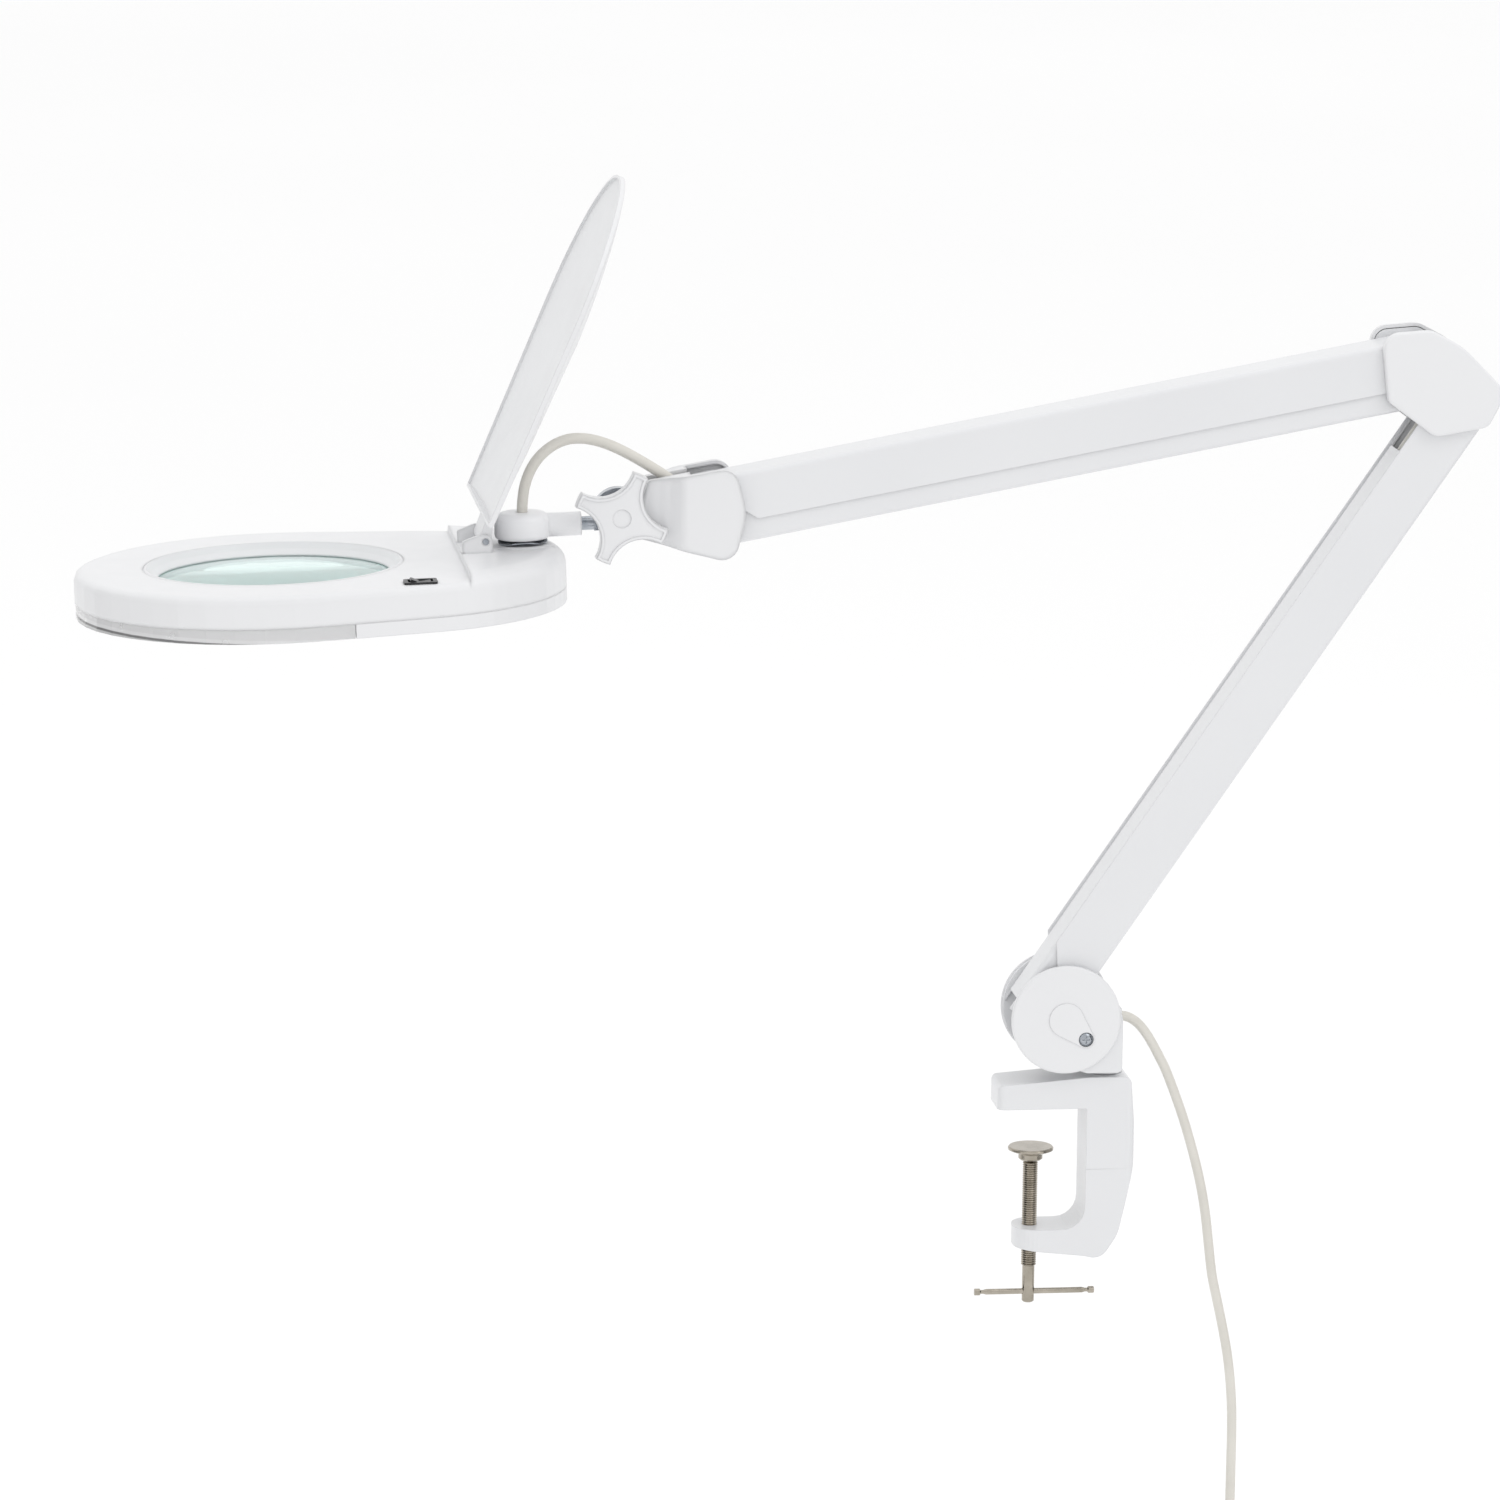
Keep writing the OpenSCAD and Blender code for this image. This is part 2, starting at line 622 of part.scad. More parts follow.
module cord_gland() {
    color("white") translate([housing_back - 8, 0, gland_z]) rotate([0, 90, 0]) difference() {
        cylinder(r = gland_r, h = 10);
        translate([0, 0, -1]) cylinder(r = cord_r + run_gap, h = 12);
    }
}

// ---- Mains cord ----

module mains_cord() {
    color("ivory") {
        tube(CORD, cord_r, 10);
        translate([0, plug_p.y, 0]) tube([[plug_p.x, plug_p.z + 14], [plug_p.x, plug_p.z]], cord_r, 10);
    }
}

module cord_coil() {
    color("ivory") translate(coil_c) rotate([90, 0, 0])
        rotate_extrude($fn = 64) translate([coil_mid_r, 0]) circle(r = coil_wrap, $fn = 24);
}

module cord_tie() {
    r = coil_wrap + 0.3;
    color("dimgray") translate(coil_c + [0, 0, coil_mid_r]) rotate([0, 90, 0])
        rotate_extrude($fn = 32) translate([r, -3]) square([1.2, 6]);
}

module plug_body() {
    w = 24;
    color("ivory") translate(plug_p) loft([
        [for (p = rounded([[-4, -4, 3.5], [4, -4, 3.5], [4, 4, 3.5], [-4, 4, 3.5]])) [p.x, p.y, -0.2]],
        [for (p = rounded([[-5, -5, 4], [5, -5, 4], [5, 5, 4], [-5, 5, 4]])) [p.x, p.y, -12]],
        [for (p = rounded([[-w / 2, -8, 5], [w / 2, -8, 5], [w / 2, 8, 5], [-w / 2, 8, 5]])) [p.x, p.y, -20]],
        [for (p = rounded([[-w / 2, -9, 5], [w / 2, -9, 5], [w / 2, 9, 5], [-w / 2, 9, 5]])) [p.x, p.y, -34]]]);
}

module plug_prongs() {
    color("gold") for (s = [-1, 1])
        translate(plug_p + [s * 6.35 - 0.75, -3.2, -34.02 - 17]) cube([1.5, 6.4, 17]);
}

// ---- Lower arm ----

module lower_channel() {
    color("white") along(base_pin, lower_a) outer_channel(lower_len, lower_depth, 40, 27);
}

module lower_link() {
    color("white") along(base_link_pin, lower_a)
        link_channel(lower_len, lower_link_depth, 12.5, 7, 10, 52);
}

lower_bar = base_pin + 0.3145 * lower_len * toward(lower_a) + 3.5 * toward(lower_a + 90);
lower_spring_a = atan2(lower_bar.z - base_anchor.z, lower_bar.x - base_anchor.x);

module lower_spring_bar() {
    color("silver") cross_pin(lower_bar, anchor_r, arm_y - sheet - 0.02);
}

module lower_springs() {
    color("dimgray") spring_pair(base_anchor, lower_spring_a, lower_bar, lower_spring_len);
}

// Lamp cable inside a link channel, against its web, from x0 to x1
module arm_cable(x0, x1) {
    translate([x0, 0, link_back - sheet - cable_r - 0.1]) rotate([0, 90, 0])
        cylinder(r = cable_r, h = x1 - x0, $fn = 20);
}

module lower_cable() {
    color("ivory") along(base_link_pin, lower_a) arm_cable(12, lower_len - 16);
}

// ---- Elbow ----

elbow_outline = [elbow_up + [-20.5, 0, 13.5], elbow_up + [12, 0, 16],
    elbow_up + [33, 0, 5], elbow_low + [18, 0, 12.5], elbow_low + [6.5, 0, -10],
    elbow_low_link + [-11, 0, -22.5], elbow_up_link + [-18, 0, -2]];
elbow_round = [11, 14, 50, 9, 8, 9, 7];

function outline_of(points, radii, cut) = rounded([for (i = [0 : len(points) - 1])
    let (c = points[(i + len(points) - 1) % len(points)], a = points[i],
         b = points[(i + 1) % len(points)],
         u = unit([c.x - a.x, c.z - a.z]), v = unit([b.x - a.x, b.z - a.z]),
         q = [a.x, a.z] + (u + v) * cut / sqrt(1 - pow(u * v, 2)))
    [q.x, q.y, max(radii[i] - cut, 0.5)]], 6);

module elbow_plates() {
    color("white") difference() {
        both_sides() side_slab(outline_of(elbow_outline, elbow_round, cover_t + 0.5),
            plate_y, plate_out);
        for (p = [elbow_low, elbow_low_link, elbow_up, elbow_up_link])
            cross_pin(p, hole_r, plate_out + 1);
        cross_pin(elbow_anchor, anchor_r + run_gap, plate_out + 1);
    }
}

module elbow_pins() {
    color("silver") for (p = [elbow_low, elbow_low_link, elbow_up, elbow_up_link])
        pivot_bolt(p);
}

// Pivot bolt between two plates, with a low head on each side
module pivot_bolt(p) {
    cross_pin(p, pin_r, plate_out + 0.05);
    both_sides() translate(p + [0, -plate_out - 0.02, 0]) rotate([90, 0, 0])
        cylinder(r = pin_r + 2, h = cover_hollow - 0.4);
}

module elbow_spring_anchor() {
    color("silver") cross_pin(elbow_anchor, anchor_r, plate_out + 0.6);
}

// Dished cover: outline, corner radii, distance of its open edge from the middle
module dished_cover(points, radii, y0) {
    rim = [0, 0.35, 1.1, 2.3];
    rise = [1.5, 0.7, 0.2, 0];
    color("white") difference() {
        loft([for (k = [0 : 5])
            let (e = k < 2 ? 0 : rim[k - 2], y = k == 0 ? y0 : cover_out - (k == 1 ? 1.6 : rise[k - 2]))
            [for (p = outline_of(points, radii, e)) [p.x, -y, p.y]]]);
        side_slab(outline_of(points, radii, cover_t), -cover_in, -y0 + 1);
    }
}

module elbow_cover_near() { dished_cover(elbow_outline, elbow_round, plate_y); }

module elbow_cover_far() {
    mirror([0, 1, 0]) dished_cover(elbow_outline, elbow_round, plate_y);
}

// ---- Upper arm ----

module upper_channel() {
    color("white") along(elbow_up, upper_a) outer_channel(upper_len, upper_depth, 19, 26);
}

module upper_link() {
    color("white") along(elbow_up_link, upper_a)
        link_channel(upper_len, upper_link_depth, 7, 7, 20, 14);
}

upper_bar = elbow_up + 0.3696 * upper_len * toward(upper_a) + 6 * toward(upper_a + 90);
upper_spring_a = atan2(upper_bar.z - elbow_anchor.z, upper_bar.x - elbow_anchor.x);

module upper_spring_bar() {
    color("silver") cross_pin(upper_bar, anchor_r, arm_y - sheet - 0.02);
}

module upper_springs() {
    color("dimgray") spring_pair(elbow_anchor, upper_spring_a, upper_bar, upper_spring_len);
}

module upper_cable() {
    color("ivory") along(elbow_up_link, upper_a) arm_cable(12, upper_len - 14);
}

// ---- Head bracket ----

bracket_outline = [tilt_pin + [18, 0, 22], bracket_pin + [13, 0, 17],
    bracket_pin + [20.5, 0, -12.6], bracket_link_pin + [10.5, 0, -17],
    tilt_pin + [8, 0, -14]];
bracket_round = [2.5, 11, 30, 11, 2.5];
rod_plate = 8;
tongue_y = rod_plate / 2 + 0.3;
waist_x = tilt_pin.x + 8;

// Plan of the bracket's cover: full width at the arm, drawn in at the waist, inset by e
function waist(e) = [[bracket_pin.x + 40, 0], [bracket_pin.x + 40, -cover_out - 1 + e],
    [bracket_pin.x - 17, -cover_out - 1 + e], [bracket_pin.x - 22, -cover_out + 1.4 + e],
    [bracket_pin.x - 28, -cover_out + 6.5 + e], [bracket_pin.x - 34, -cover_out + 9.6 + e],
    [bracket_pin.x - 42, -cover_out + 11.2 + e], [waist_x - 10, -cover_out + 12 + e],
    [waist_x - 10, 0]];

module plan_slab(pts, z0, z1) {
    translate([0, 0, z0]) linear_extrude(z1 - z0) polygon(pts);
}

module bracket_cover() {
    z0 = bracket_link_pin.z - 40;
    z1 = bracket_pin.z + 40;
    inner_y = tongue_y + plate_t + 0.4;
    color("white") difference() {
        intersection() {
            side_slab(outline_of(bracket_outline, bracket_round, 0), -cover_out, -inner_y);
            plan_slab(waist(0), z0, z1);
        }
        intersection() {
            side_slab(outline_of(bracket_outline, bracket_round, cover_t), -cover_in, 1);
            plan_slab(waist(cover_t), z0 + 1, z1 - 1);
        }
        translate([bracket_pin.x - 15, -plate_y, z0]) cube([80, 2 * plate_y, z1 - z0]);
    }
}

module bracket_cover_near() { bracket_cover(); }

module bracket_cover_far() { mirror([0, 1, 0]) bracket_cover(); }

// Two pressed plates: wide apart at the arm, close together at the tilt bolt
module bracket_plates() {
    x1 = bracket_pin.x - 16;
    x0 = tilt_pin.x + 20;
    strip = [[bracket_pin.x + 30, plate_y], [bracket_pin.x + 30, plate_out], [x1, plate_out],
        [x0 - 0.6, tongue_y + plate_t], [tilt_pin.x - 20, tongue_y + plate_t],
        [tilt_pin.x - 20, tongue_y], [x0 + 0.6, tongue_y], [x1 + 1.2, plate_y]];
    shape = rounded([[tilt_pin.x - 13, tilt_pin.z + 13, 12.5], [tilt_pin.x + 16, tilt_pin.z + 13.5, 3],
        [bracket_pin.x + 9, bracket_pin.z + 11, 8], [bracket_pin.x + 14, bracket_pin.z - 12, 20],
        [bracket_link_pin.x + 6, bracket_link_pin.z - 11, 8], [tilt_pin.x + 14, tilt_pin.z - 13, 3],
        [tilt_pin.x - 13, tilt_pin.z - 13, 12.5]]);
    color("white") difference() {
        both_sides() intersection() {
            side_slab(shape, 0, arm_w);
            plan_slab(strip, bracket_link_pin.z - 40, bracket_pin.z + 40);
        }
        for (p = [bracket_pin, bracket_link_pin]) cross_pin(p, hole_r, plate_out + 1);
        cross_pin(tilt_pin, hole_r, plate_out + 1);
    }
}

module bracket_pins() {
    color("silver") for (p = [bracket_pin, bracket_link_pin]) pivot_bolt(p);
}

module head_cable() {
    color("ivory") tube([for (p = LEAD) [tilt_pin.x - p.x - 4, tilt_pin.z + 22 - p.y]], cable_r, 10);
}

// ---- Tilt knob ----

knob_y = 18;

module star(cut) {
    half = asin(lobe_w / 2 / knob_r);
    x = knob_r * cos(45 - half);
    y = knob_r * sin(45 - half);
    d = (x * x + y * y - waist_r * waist_r) / (2 * (x - waist_r));
    difference() {
        circle(r = knob_r - cut, $fn = 96);
        for (i = [0 : 3]) rotate(90 * i + 45) translate([d, 0]) circle(r = d - waist_r + cut, $fn = 64);
    }
}

module star_knob() {
    border = 2.2;
    hub = knob_y - tongue_y - plate_t - 0.3;
    color("white") translate(tilt_pin + [0, -knob_y, 0]) rotate([90, 0, 0]) difference() {
        union() {
            rotate(-23.5) linear_extrude(knob_t - 0.8) star(0);
            rotate(-23.5) translate([0, 0, knob_t - 1]) linear_extrude(1) difference() {
                star(0.5);
                star(border);
            }
            translate([0, 0, -hub]) cylinder(r = 6.8, h = hub + 0.5);
        }
        translate([0, 0, knob_t - 1.6]) cylinder(r = 5.9, h = 3);
        translate([0, 0, -hub - 1]) cylinder(r = pin_r + run_gap, h = hub + knob_t - 3);
    }
}

module knob_bolt() {
    far = tongue_y + plate_t;
    color("silver") {
        translate(tilt_pin + [0, far + 5.5, 0]) rotate([90, 0, 0])
            cylinder(r = pin_r, h = far + 5.5 + knob_y + knob_t - 4.6);
        translate(tilt_pin + [0, far + 5, 0]) rotate([90, 0, 0]) cylinder(r = 5.5, h = 4.6, $fn = 6);
    }
}

// ---- Neck ----

// Frame of the neck: origin under the dome on the swivel axis, x towards the tilt bolt
module neck_frame() {
    translate(swivel_p) rotate([0, -head_droop, 0]) children();
}

eye_r = 16.5;

module eye_rod() {
    t = rod_plate;
    blade = 16;
    color("silver") difference() {
        neck_frame() {
            translate([neck_reach, 0, tilt_rise]) rotate([90, 0, 0])
                cylinder(r = eye_r, h = t, center = true);
            translate([neck_reach - blade, -t / 2, rod_h - rod_r]) cube([blade, t, rod_r + 12]);
            translate([neck_reach - 40, 0, rod_h]) rotate([0, 90, 0])
                cylinder(r = rod_r, h = 41.5 - blade);
        }
        cross_pin(tilt_pin, hole_r, t);
    }
}

module neck_dome() {
    round = 6;
    color("white") neck_frame() difference() {
        union() {
            rotate_extrude($fn = 64) polygon(concat([[0, 0]],
                [for (i = [0 : 4]) [dome_r - 3 + 3 * sin(22.5 * i), 3 - 3 * cos(22.5 * i)]],
                [for (i = [0 : 6]) [dome_r - round + round * cos(15 * i),
                    dome_h - round + round * sin(15 * i)]], [[0, dome_h]]));
            translate([0, 0, rod_h]) rotate([0, 90, 0])
                cylinder(r = sleeve_r, h = neck_reach - 24);
        }
        translate([0, 0, -1]) cylinder(r = stud_r + run_gap, h = dome_h - 3);
        cylinder(r = cable_r + 0.35, h = dome_h + 2);
        translate([neck_reach - 40.3, 0, rod_h]) rotate([0, 90, 0])
            cylinder(r = rod_r + run_gap, h = 40);
    }
}

stud_r = 5;
boss_h = deck_drop - washer_gap;

module swivel_stud() {
    color("silver") neck_frame() translate([0, 0, -washer_gap - 20]) difference() {
        cylinder(r = stud_r, h = 20 + washer_gap + dome_h - 5);
        translate([0, 0, -1]) cylinder(r = stud_r - 1.4, h = 60);
    }
}

module swivel_nut() {
    color("silver") neck_frame() translate([0, 0, -deck_drop - head_wall - 5.3]) difference() {
        cylinder(r = 9, h = 5, $fn = 6);
        translate([0, 0, -1]) cylinder(r = stud_r + run_gap, h = 8);
    }
}

// Spring washer with three waves
module wave_washer() {
    n = 48;
    r0 = stud_r + 0.4;
    r1 = dome_r - 2;
    t = 0.7;
    function wave(i) = 1.4 + 0.8 * sin(3 * 360 * i / n);
    color("silver") neck_frame() translate([0, 0, 0.2 - washer_gap])
        loft_ring([for (i = [0 : n - 1]) let (a = 360 * i / n, z = wave(i))
            [[r0 * cos(a), r0 * sin(a), z - t / 2], [r1 * cos(a), r1 * sin(a), z - t / 2],
             [r1 * cos(a), r1 * sin(a), z + t / 2], [r0 * cos(a), r0 * sin(a), z + t / 2]]]);
}

// Closed ring of equal sections
module loft_ring(sections) {
    n = len(sections[0]);
    m = len(sections);
    polyhedron(points = [for (s = sections) each s],
        faces = [for (k = [0 : m - 1]) for (i = [0 : n - 1])
            [k * n + i, ((k + 1) % m) * n + i, ((k + 1) % m) * n + (i + 1) % n, k * n + (i + 1) % n]]);
}

// ---- Head ----

// Frame of the head: origin on its top face over the lens, x towards the tail
module head_frame() {
    translate(head_p) rotate([0, -head_droop, 0]) children();
}

module head_stack(levels) {
    loft([for (l = levels) [for (p = egg(head_r, tail_r, tail_x, l[1])) [p.x, p.y, l[0]]]]);
}

skirt_x = 45;
bezel_r = lens_r + 8;
switch_p = [tail_x + 12.5, 16 - tail_r];
switch_size = [21, 15];

module head_housing() {
    color("white") difference() {
        union() {
            head_frame() {
                difference() {
                    head_stack([[-head_h, 0], [-5, 0], [-2.6, 0.8], [-1, 2.4], [-0.2, 4.6], [0, 7]]);
                    head_stack([[-head_h - 1, head_wall], [-5, head_wall], [-head_wall, 6]]);
                    behind(step_x + head_wall)
                        head_stack([[-5.1, head_wall], [0, 5], [tail_step - head_wall, 12]]);
                }
                difference() {
                    behind(step_x) head_stack([[-5, 0], [-2, 0.7], [0.2 * tail_step, 2.6],
                        [0.64 * tail_step, 5.4], [0.92 * tail_step, 9.5], [tail_step, 13]]);
                    behind(step_x + head_wall)
                        head_stack([[-5.1, head_wall], [0, 5], [tail_step - head_wall, 12]]);
                }
                difference() {
                    translate([0, 0, -head_h]) cylinder(r = bezel_r + head_wall, h = head_h - 0.5, $fn = 96);
                    translate([0, 0, -head_h - 1]) cylinder(r = bezel_r, h = head_h, $fn = 96);
                }
                hinge_ears();
                for (s = [-1, 1]) translate([board_post.x, s * board_post.y, board_top])
                    cylinder(r = 3, h = tail_step - board_top - 1, $fn = 24);
            }
            head_frame() translate([neck_x, 0, 0]) rotate_extrude($fn = 64) polygon(
                [[0, -head_wall], [dome_r + 2, -head_wall], [dome_r + 2, tail_step - 0.6],
                 [dome_r + 1, tail_step + 0.2], [dome_r - 1, boss_h], [0, boss_h]]);
        }
        head_frame() translate([0, 0, -head_h - 1]) cylinder(r = bezel_r + run_gap, h = head_h + 2, $fn = 96);
        neck_frame() translate([0, 0, -40]) cylinder(r = stud_r + run_gap, h = 60);
        head_frame() translate([switch_p.x, switch_p.y, 0])
            cube([switch_size.x - 2.6, switch_size.y - 2.6, 12], center = true);
    }
}

// Part of the children behind a line across the head
module behind(x) {
    intersection() {
        children();
        translate([x, -head_r, -head_h]) cube([head_r, 2 * head_r, 2 * head_h]);
    }
}

ear_in = 20.6;
ear_t = 4;
hinge_r = 2;
knuckle_r = 4.4;

// Two long ears that carry the cover's hinge pin
module hinge_ears() {
    x0 = step_x + 0.7;
    x1 = hinge_x + knuckle_r;
    top = hinge_z + knuckle_r;
    cheeks = rounded([[x0, tail_step - 1, 0], [x1, tail_step - 1, 0], [x1, top, knuckle_r],
        [hinge_x - 4, top, 6], [x0, hinge_z + 0.5, 1.5]]);
    both_sides() difference() {
        side_slab(cheeks, ear_in, ear_in + ear_t);
        cross_pin([hinge_x, 0, hinge_z], hinge_r + run_gap, ear_in + ear_t + 1);
    }
}

module hinge_pin() {
    color("silver") head_frame() cross_pin([hinge_x, 0, hinge_z], hinge_r, ear_in + ear_t + 0.3);
}

// Annular tray of clear plastic below the lamps; its rim shows round the front
module diffuser_ring() {
    hole = lens_r - 1;
    color("lightcyan", 0.6) head_frame() difference() {
        intersection() {
            translate([0, 0, -head_h - base_h]) linear_extrude(base_h - 0.1)
                polygon(egg(head_r, tail_r, tail_x, 0.4));
            union() {
                translate([-2 * head_r, -head_r, -100]) cube([2 * head_r + skirt_x - 0.4, 2 * head_r, 100]);
                translate([0, 0, -100]) cylinder(r = head_r - 16, h = 100, $fn = 96);
            }
        }
        difference() {
            translate([0, 0, -head_h - base_h + 2]) cylinder(r = head_r - 2.4, h = base_h, $fn = 96);
            translate([0, 0, -head_h - base_h]) cylinder(r = hole + 2, h = base_h * 2, $fn = 96);
            translate([skirt_x - 2.4, -head_r, -head_h - base_h]) cube([2, 2 * head_r, base_h]);
        }
        translate([0, 0, -100]) cylinder(r = hole, h = 100, $fn = 96);
    }
}

// Tail half of the underside
module head_base() {
    color("white") head_frame() difference() {
        translate([0, 0, -head_h - base_h]) linear_extrude(base_h - 0.02) polygon(egg(head_r, tail_r, tail_x));
        translate([0, 0, -head_h - base_h + head_wall]) linear_extrude(base_h)
            polygon(egg(head_r, tail_r, tail_x, head_wall));
        translate([-2 * head_r, -2 * head_r, -100]) cube([2 * head_r + skirt_x, 4 * head_r, 100]);
        translate([0, 0, -100]) cylinder(r = head_r - 15.6, h = 100, $fn = 96);
        screw_places() cylinder(r = 2.6 + run_gap, h = 6);
    }
}

function lens_arc(sign) = let (h = (lens_t - lens_edge) / 2, r = (lens_r * lens_r + h * h) / (2 * h),
    a = asin(lens_r / r)) [for (i = [0 : 12]) let (b = a * (sign > 0 ? i : 12 - i) / 12)
        [r * sin(b), sign * (r * cos(b) - r + h + lens_edge / 2)]];

module lens() {
    color("paleturquoise", 0.4) head_frame() translate([0, 0, -lens_sink - lens_edge / 2])
        rotate_extrude($fn = 96) polygon(concat(lens_arc(1), lens_arc(-1)));
}

// Ring that carries the lens; its top is a shallow funnel
module lens_bezel() {
    z0 = -head_h - base_h + 0.3;
    seat = -lens_sink - lens_edge - 0.4;
    color("white") head_frame() rotate_extrude($fn = 96) polygon([[lens_r + 0.3, z0 + base_h + 2],
        [bezel_r - 0.1, z0 + base_h + 2], [bezel_r - 0.1, -0.5], [bezel_r - 1, 0.1], [bezel_r - 2, 0.3],
        [lens_r + 3, -3.4], [lens_r - 0.6, -lens_sink + 1.4], [lens_r - 0.8, -lens_sink + 0.4],
        [lens_r + 0.3, -lens_sink + 0.4], [lens_r + 0.3, seat], [lens_r - 2.4, seat],
        [lens_r - 2.4, seat - 2], [lens_r + 0.3, seat - 2]]);
}

board_z = -head_h + 3;

module led_board() {
    color("white") head_frame() translate([0, 0, board_z]) difference() {
        cylinder(r = head_r - 12, h = 1.6, $fn = 96);
        translate([0, 0, -1]) cylinder(r = bezel_r + head_wall + 1, h = 4, $fn = 96);
    }
}

module leds() {
    r = (head_r - 12 + bezel_r + head_wall + 1) / 2;
    color("khaki") head_frame() for (i = [0 : led_count - 1]) rotate(360 * (i + 0.5) / led_count)
        translate([r - 2.5, -1.5, board_z - 0.92]) cube([5, 3, 0.9]);
}

board_top = -head_h + 5.6;
board_p = [head_r - 9, 28];
board_post = [board_p.x + 25, 20];

module driver_board() {
    color("darkgreen") head_frame() translate([board_p.x, -board_p.y, board_top - 1.6]) {
        cube([30, 2 * board_p.y, 1.6]);
        translate([4, 6, 1.6 - eps]) cube([14, 16, 8]);
        translate([12, 36, 1.6 - eps]) cylinder(r = 5, h = 8, $fn = 24);
    }
}

module switch_body() {
    s = switch_size;
    color("black") head_frame() translate([switch_p.x, switch_p.y, 0]) difference() {
        union() {
            translate([-s.x / 2, -s.y / 2, 0.1]) linear_extrude(1.3)
                polygon(rounded([[0, 0, 2], [s.x, 0, 2], [s.x, s.y, 2], [0, s.y, 2]]));
            translate([-s.x / 2 + 1.5, -s.y / 2 + 1.5, -11]) cube([s.x - 3, s.y - 3, 11.5]);
        }
        translate([-s.x / 2 + 2.6, -s.y / 2 + 2.6, -6]) cube([s.x - 5.2, s.y - 5.2, 10]);
        translate([0, -s.y / 2 + 1, -2]) rotate([-90, 0, 0]) cylinder(r = 1 + run_gap, h = s.y - 2);
    }
}

module switch_rocker() {
    s = switch_size;
    w = s.y - 6;
    face = [[-5.8, -3], [5.8, -3], [6.4, 1.2], [0, 0.6], [-5.8, 3], [-6.6, 2]];
    color("black") head_frame() translate([switch_p.x, switch_p.y, 0]) {
        translate([0, w / 2, 0]) rotate([90, 0, 0]) linear_extrude(w) polygon(face);
        translate([0, -s.y / 2 + 1.7, -2]) rotate([-90, 0, 0]) cylinder(r = 1, h = s.y - 3.4);
    }
}

module screw_places() {
    for (a = [-35, 35]) translate([tail_x, 0, 0]) rotate(a)
        translate([tail_r - 9, 0, -head_h - base_h - 0.2]) children();
}

module housing_screws() {
    color("silver") head_frame() screw_places() cylinder(r = 2.6, h = 2.4);
}

// ---- Lens cover ----

// Frame of the cover: origin on the hinge, x to the cover's tip, z to its inner side
module lid_frame() {
    along(hinge_p, head_droop + cover_open) children();
}

lid_start = 16.5;
step_x = hinge_x - lid_start + 0.8;
lid_len = hinge_x + lid_reach;
lid_r = head_r - lid_inset;
lid_bend = lid_len - lid_r;
lid_edge = hinge_z - 0.8;
lid_mid = 0.51 * lid_len;

// Outline of the cover, drawn in by e: hinge end, near side, round front, far side
function lid_outline(e) = concat(
    [for (i = [0 : 8]) [lid_start + e, (lid_end_w - e) * (1 - i / 4)]],
    [for (i = [0 : 28]) let (a = -90 + 180 * i / 28)
        [lid_bend + (lid_r - e) * cos(a), (lid_r - e) * sin(a)]]);

// Half width of the cover at distance x, and depth of its dome at a point of its plan
function lid_half(x) = x < lid_bend
    ? lid_end_w + (lid_r - lid_end_w) * (x - lid_start) / (lid_bend - lid_start)
    : sqrt(max(1, lid_r * lid_r - (x - lid_bend) * (x - lid_bend)));
function dome_depth(p) = lid_dome * max(0, 1 - pow((p.x - lid_mid) / lid_mid, 2))
    * max(0, 1 - pow(p.y / lid_half(p.x), 2));

// Ring of the cover's surface: its outline drawn in by e, then scaled by k round its middle
function lid_ring(e, k, lift) = [for (q = lid_outline(e))
    let (p = [lid_mid + k * (q.x - lid_mid), k * q.y])
    [p.x, p.y, lid_edge - lid_lip - dome_depth(p) + lift]];
function flat_ring(e, z) = [for (q = lid_outline(e)) [q.x, q.y, z]];

module lens_cover() {
    spans = [0.06, 0.3, 0.52, 0.7, 0.84, 0.94];
    half = ear_in - 0.6;
    tongue = [[0, knuckle_r - 0.2], [14, 4.9], [lid_start + 0.1, 5.8], [22, 5.2], [22, 4.3], [14, 0.5],
        [0, 0.2 - knuckle_r]];
    color("white") lid_frame() difference() {
        union() {
            difference() {
                skin(concat([for (k = spans) lid_ring(0, k, 0)],
                    [lid_ring(0.7, 1, 0), lid_ring(0, 1, 0.7), flat_ring(0, lid_edge)]));
                skin(concat([for (k = spans) lid_ring(lid_t, k, lid_t)],
                    [lid_ring(lid_t, 1, lid_t), flat_ring(lid_t, lid_edge + 1)]));
            }
            side_slab(tongue, -half, half);
            cross_pin([0, 0, 0], knuckle_r, half);
        }
        cross_pin([0, 0, 0], hinge_r + run_gap, half + 1);
    }
}

clamp_frame();
swivel_bush();
pressure_pad();
clamp_screw();
tommy_bar();
base_housing();
base_cover_near();
base_cover_far();
base_cover_screws();
base_pivot_pins();
base_spring_anchor();
swivel_pin();
swivel_washer();
cord_gland();
mains_cord();
cord_coil();
cord_tie();
plug_body();
plug_prongs();
lower_channel();
lower_springs();
lower_spring_bar();
lower_cable();
lower_link();
elbow_plates();
elbow_pins();
elbow_spring_anchor();
elbow_cover_near();
elbow_cover_far();
upper_channel();
upper_springs();
upper_spring_bar();
upper_cable();
upper_link();
bracket_plates();
bracket_pins();
bracket_cover_near();
bracket_cover_far();
head_cable();
star_knob();
knob_bolt();
eye_rod();
neck_dome();
wave_washer();
swivel_stud();
swivel_nut();
head_housing();
head_base();
diffuser_ring();
lens();
lens_bezel();
led_board();
leds();
driver_board();
switch_body();
switch_rocker();
hinge_pin();
housing_screws();
lens_cover();
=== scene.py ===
"""Clamp-on magnifier lamp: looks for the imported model. Metres, in the model's own frame."""
import json
import math

import bpy
from mathutils import Matrix, Vector


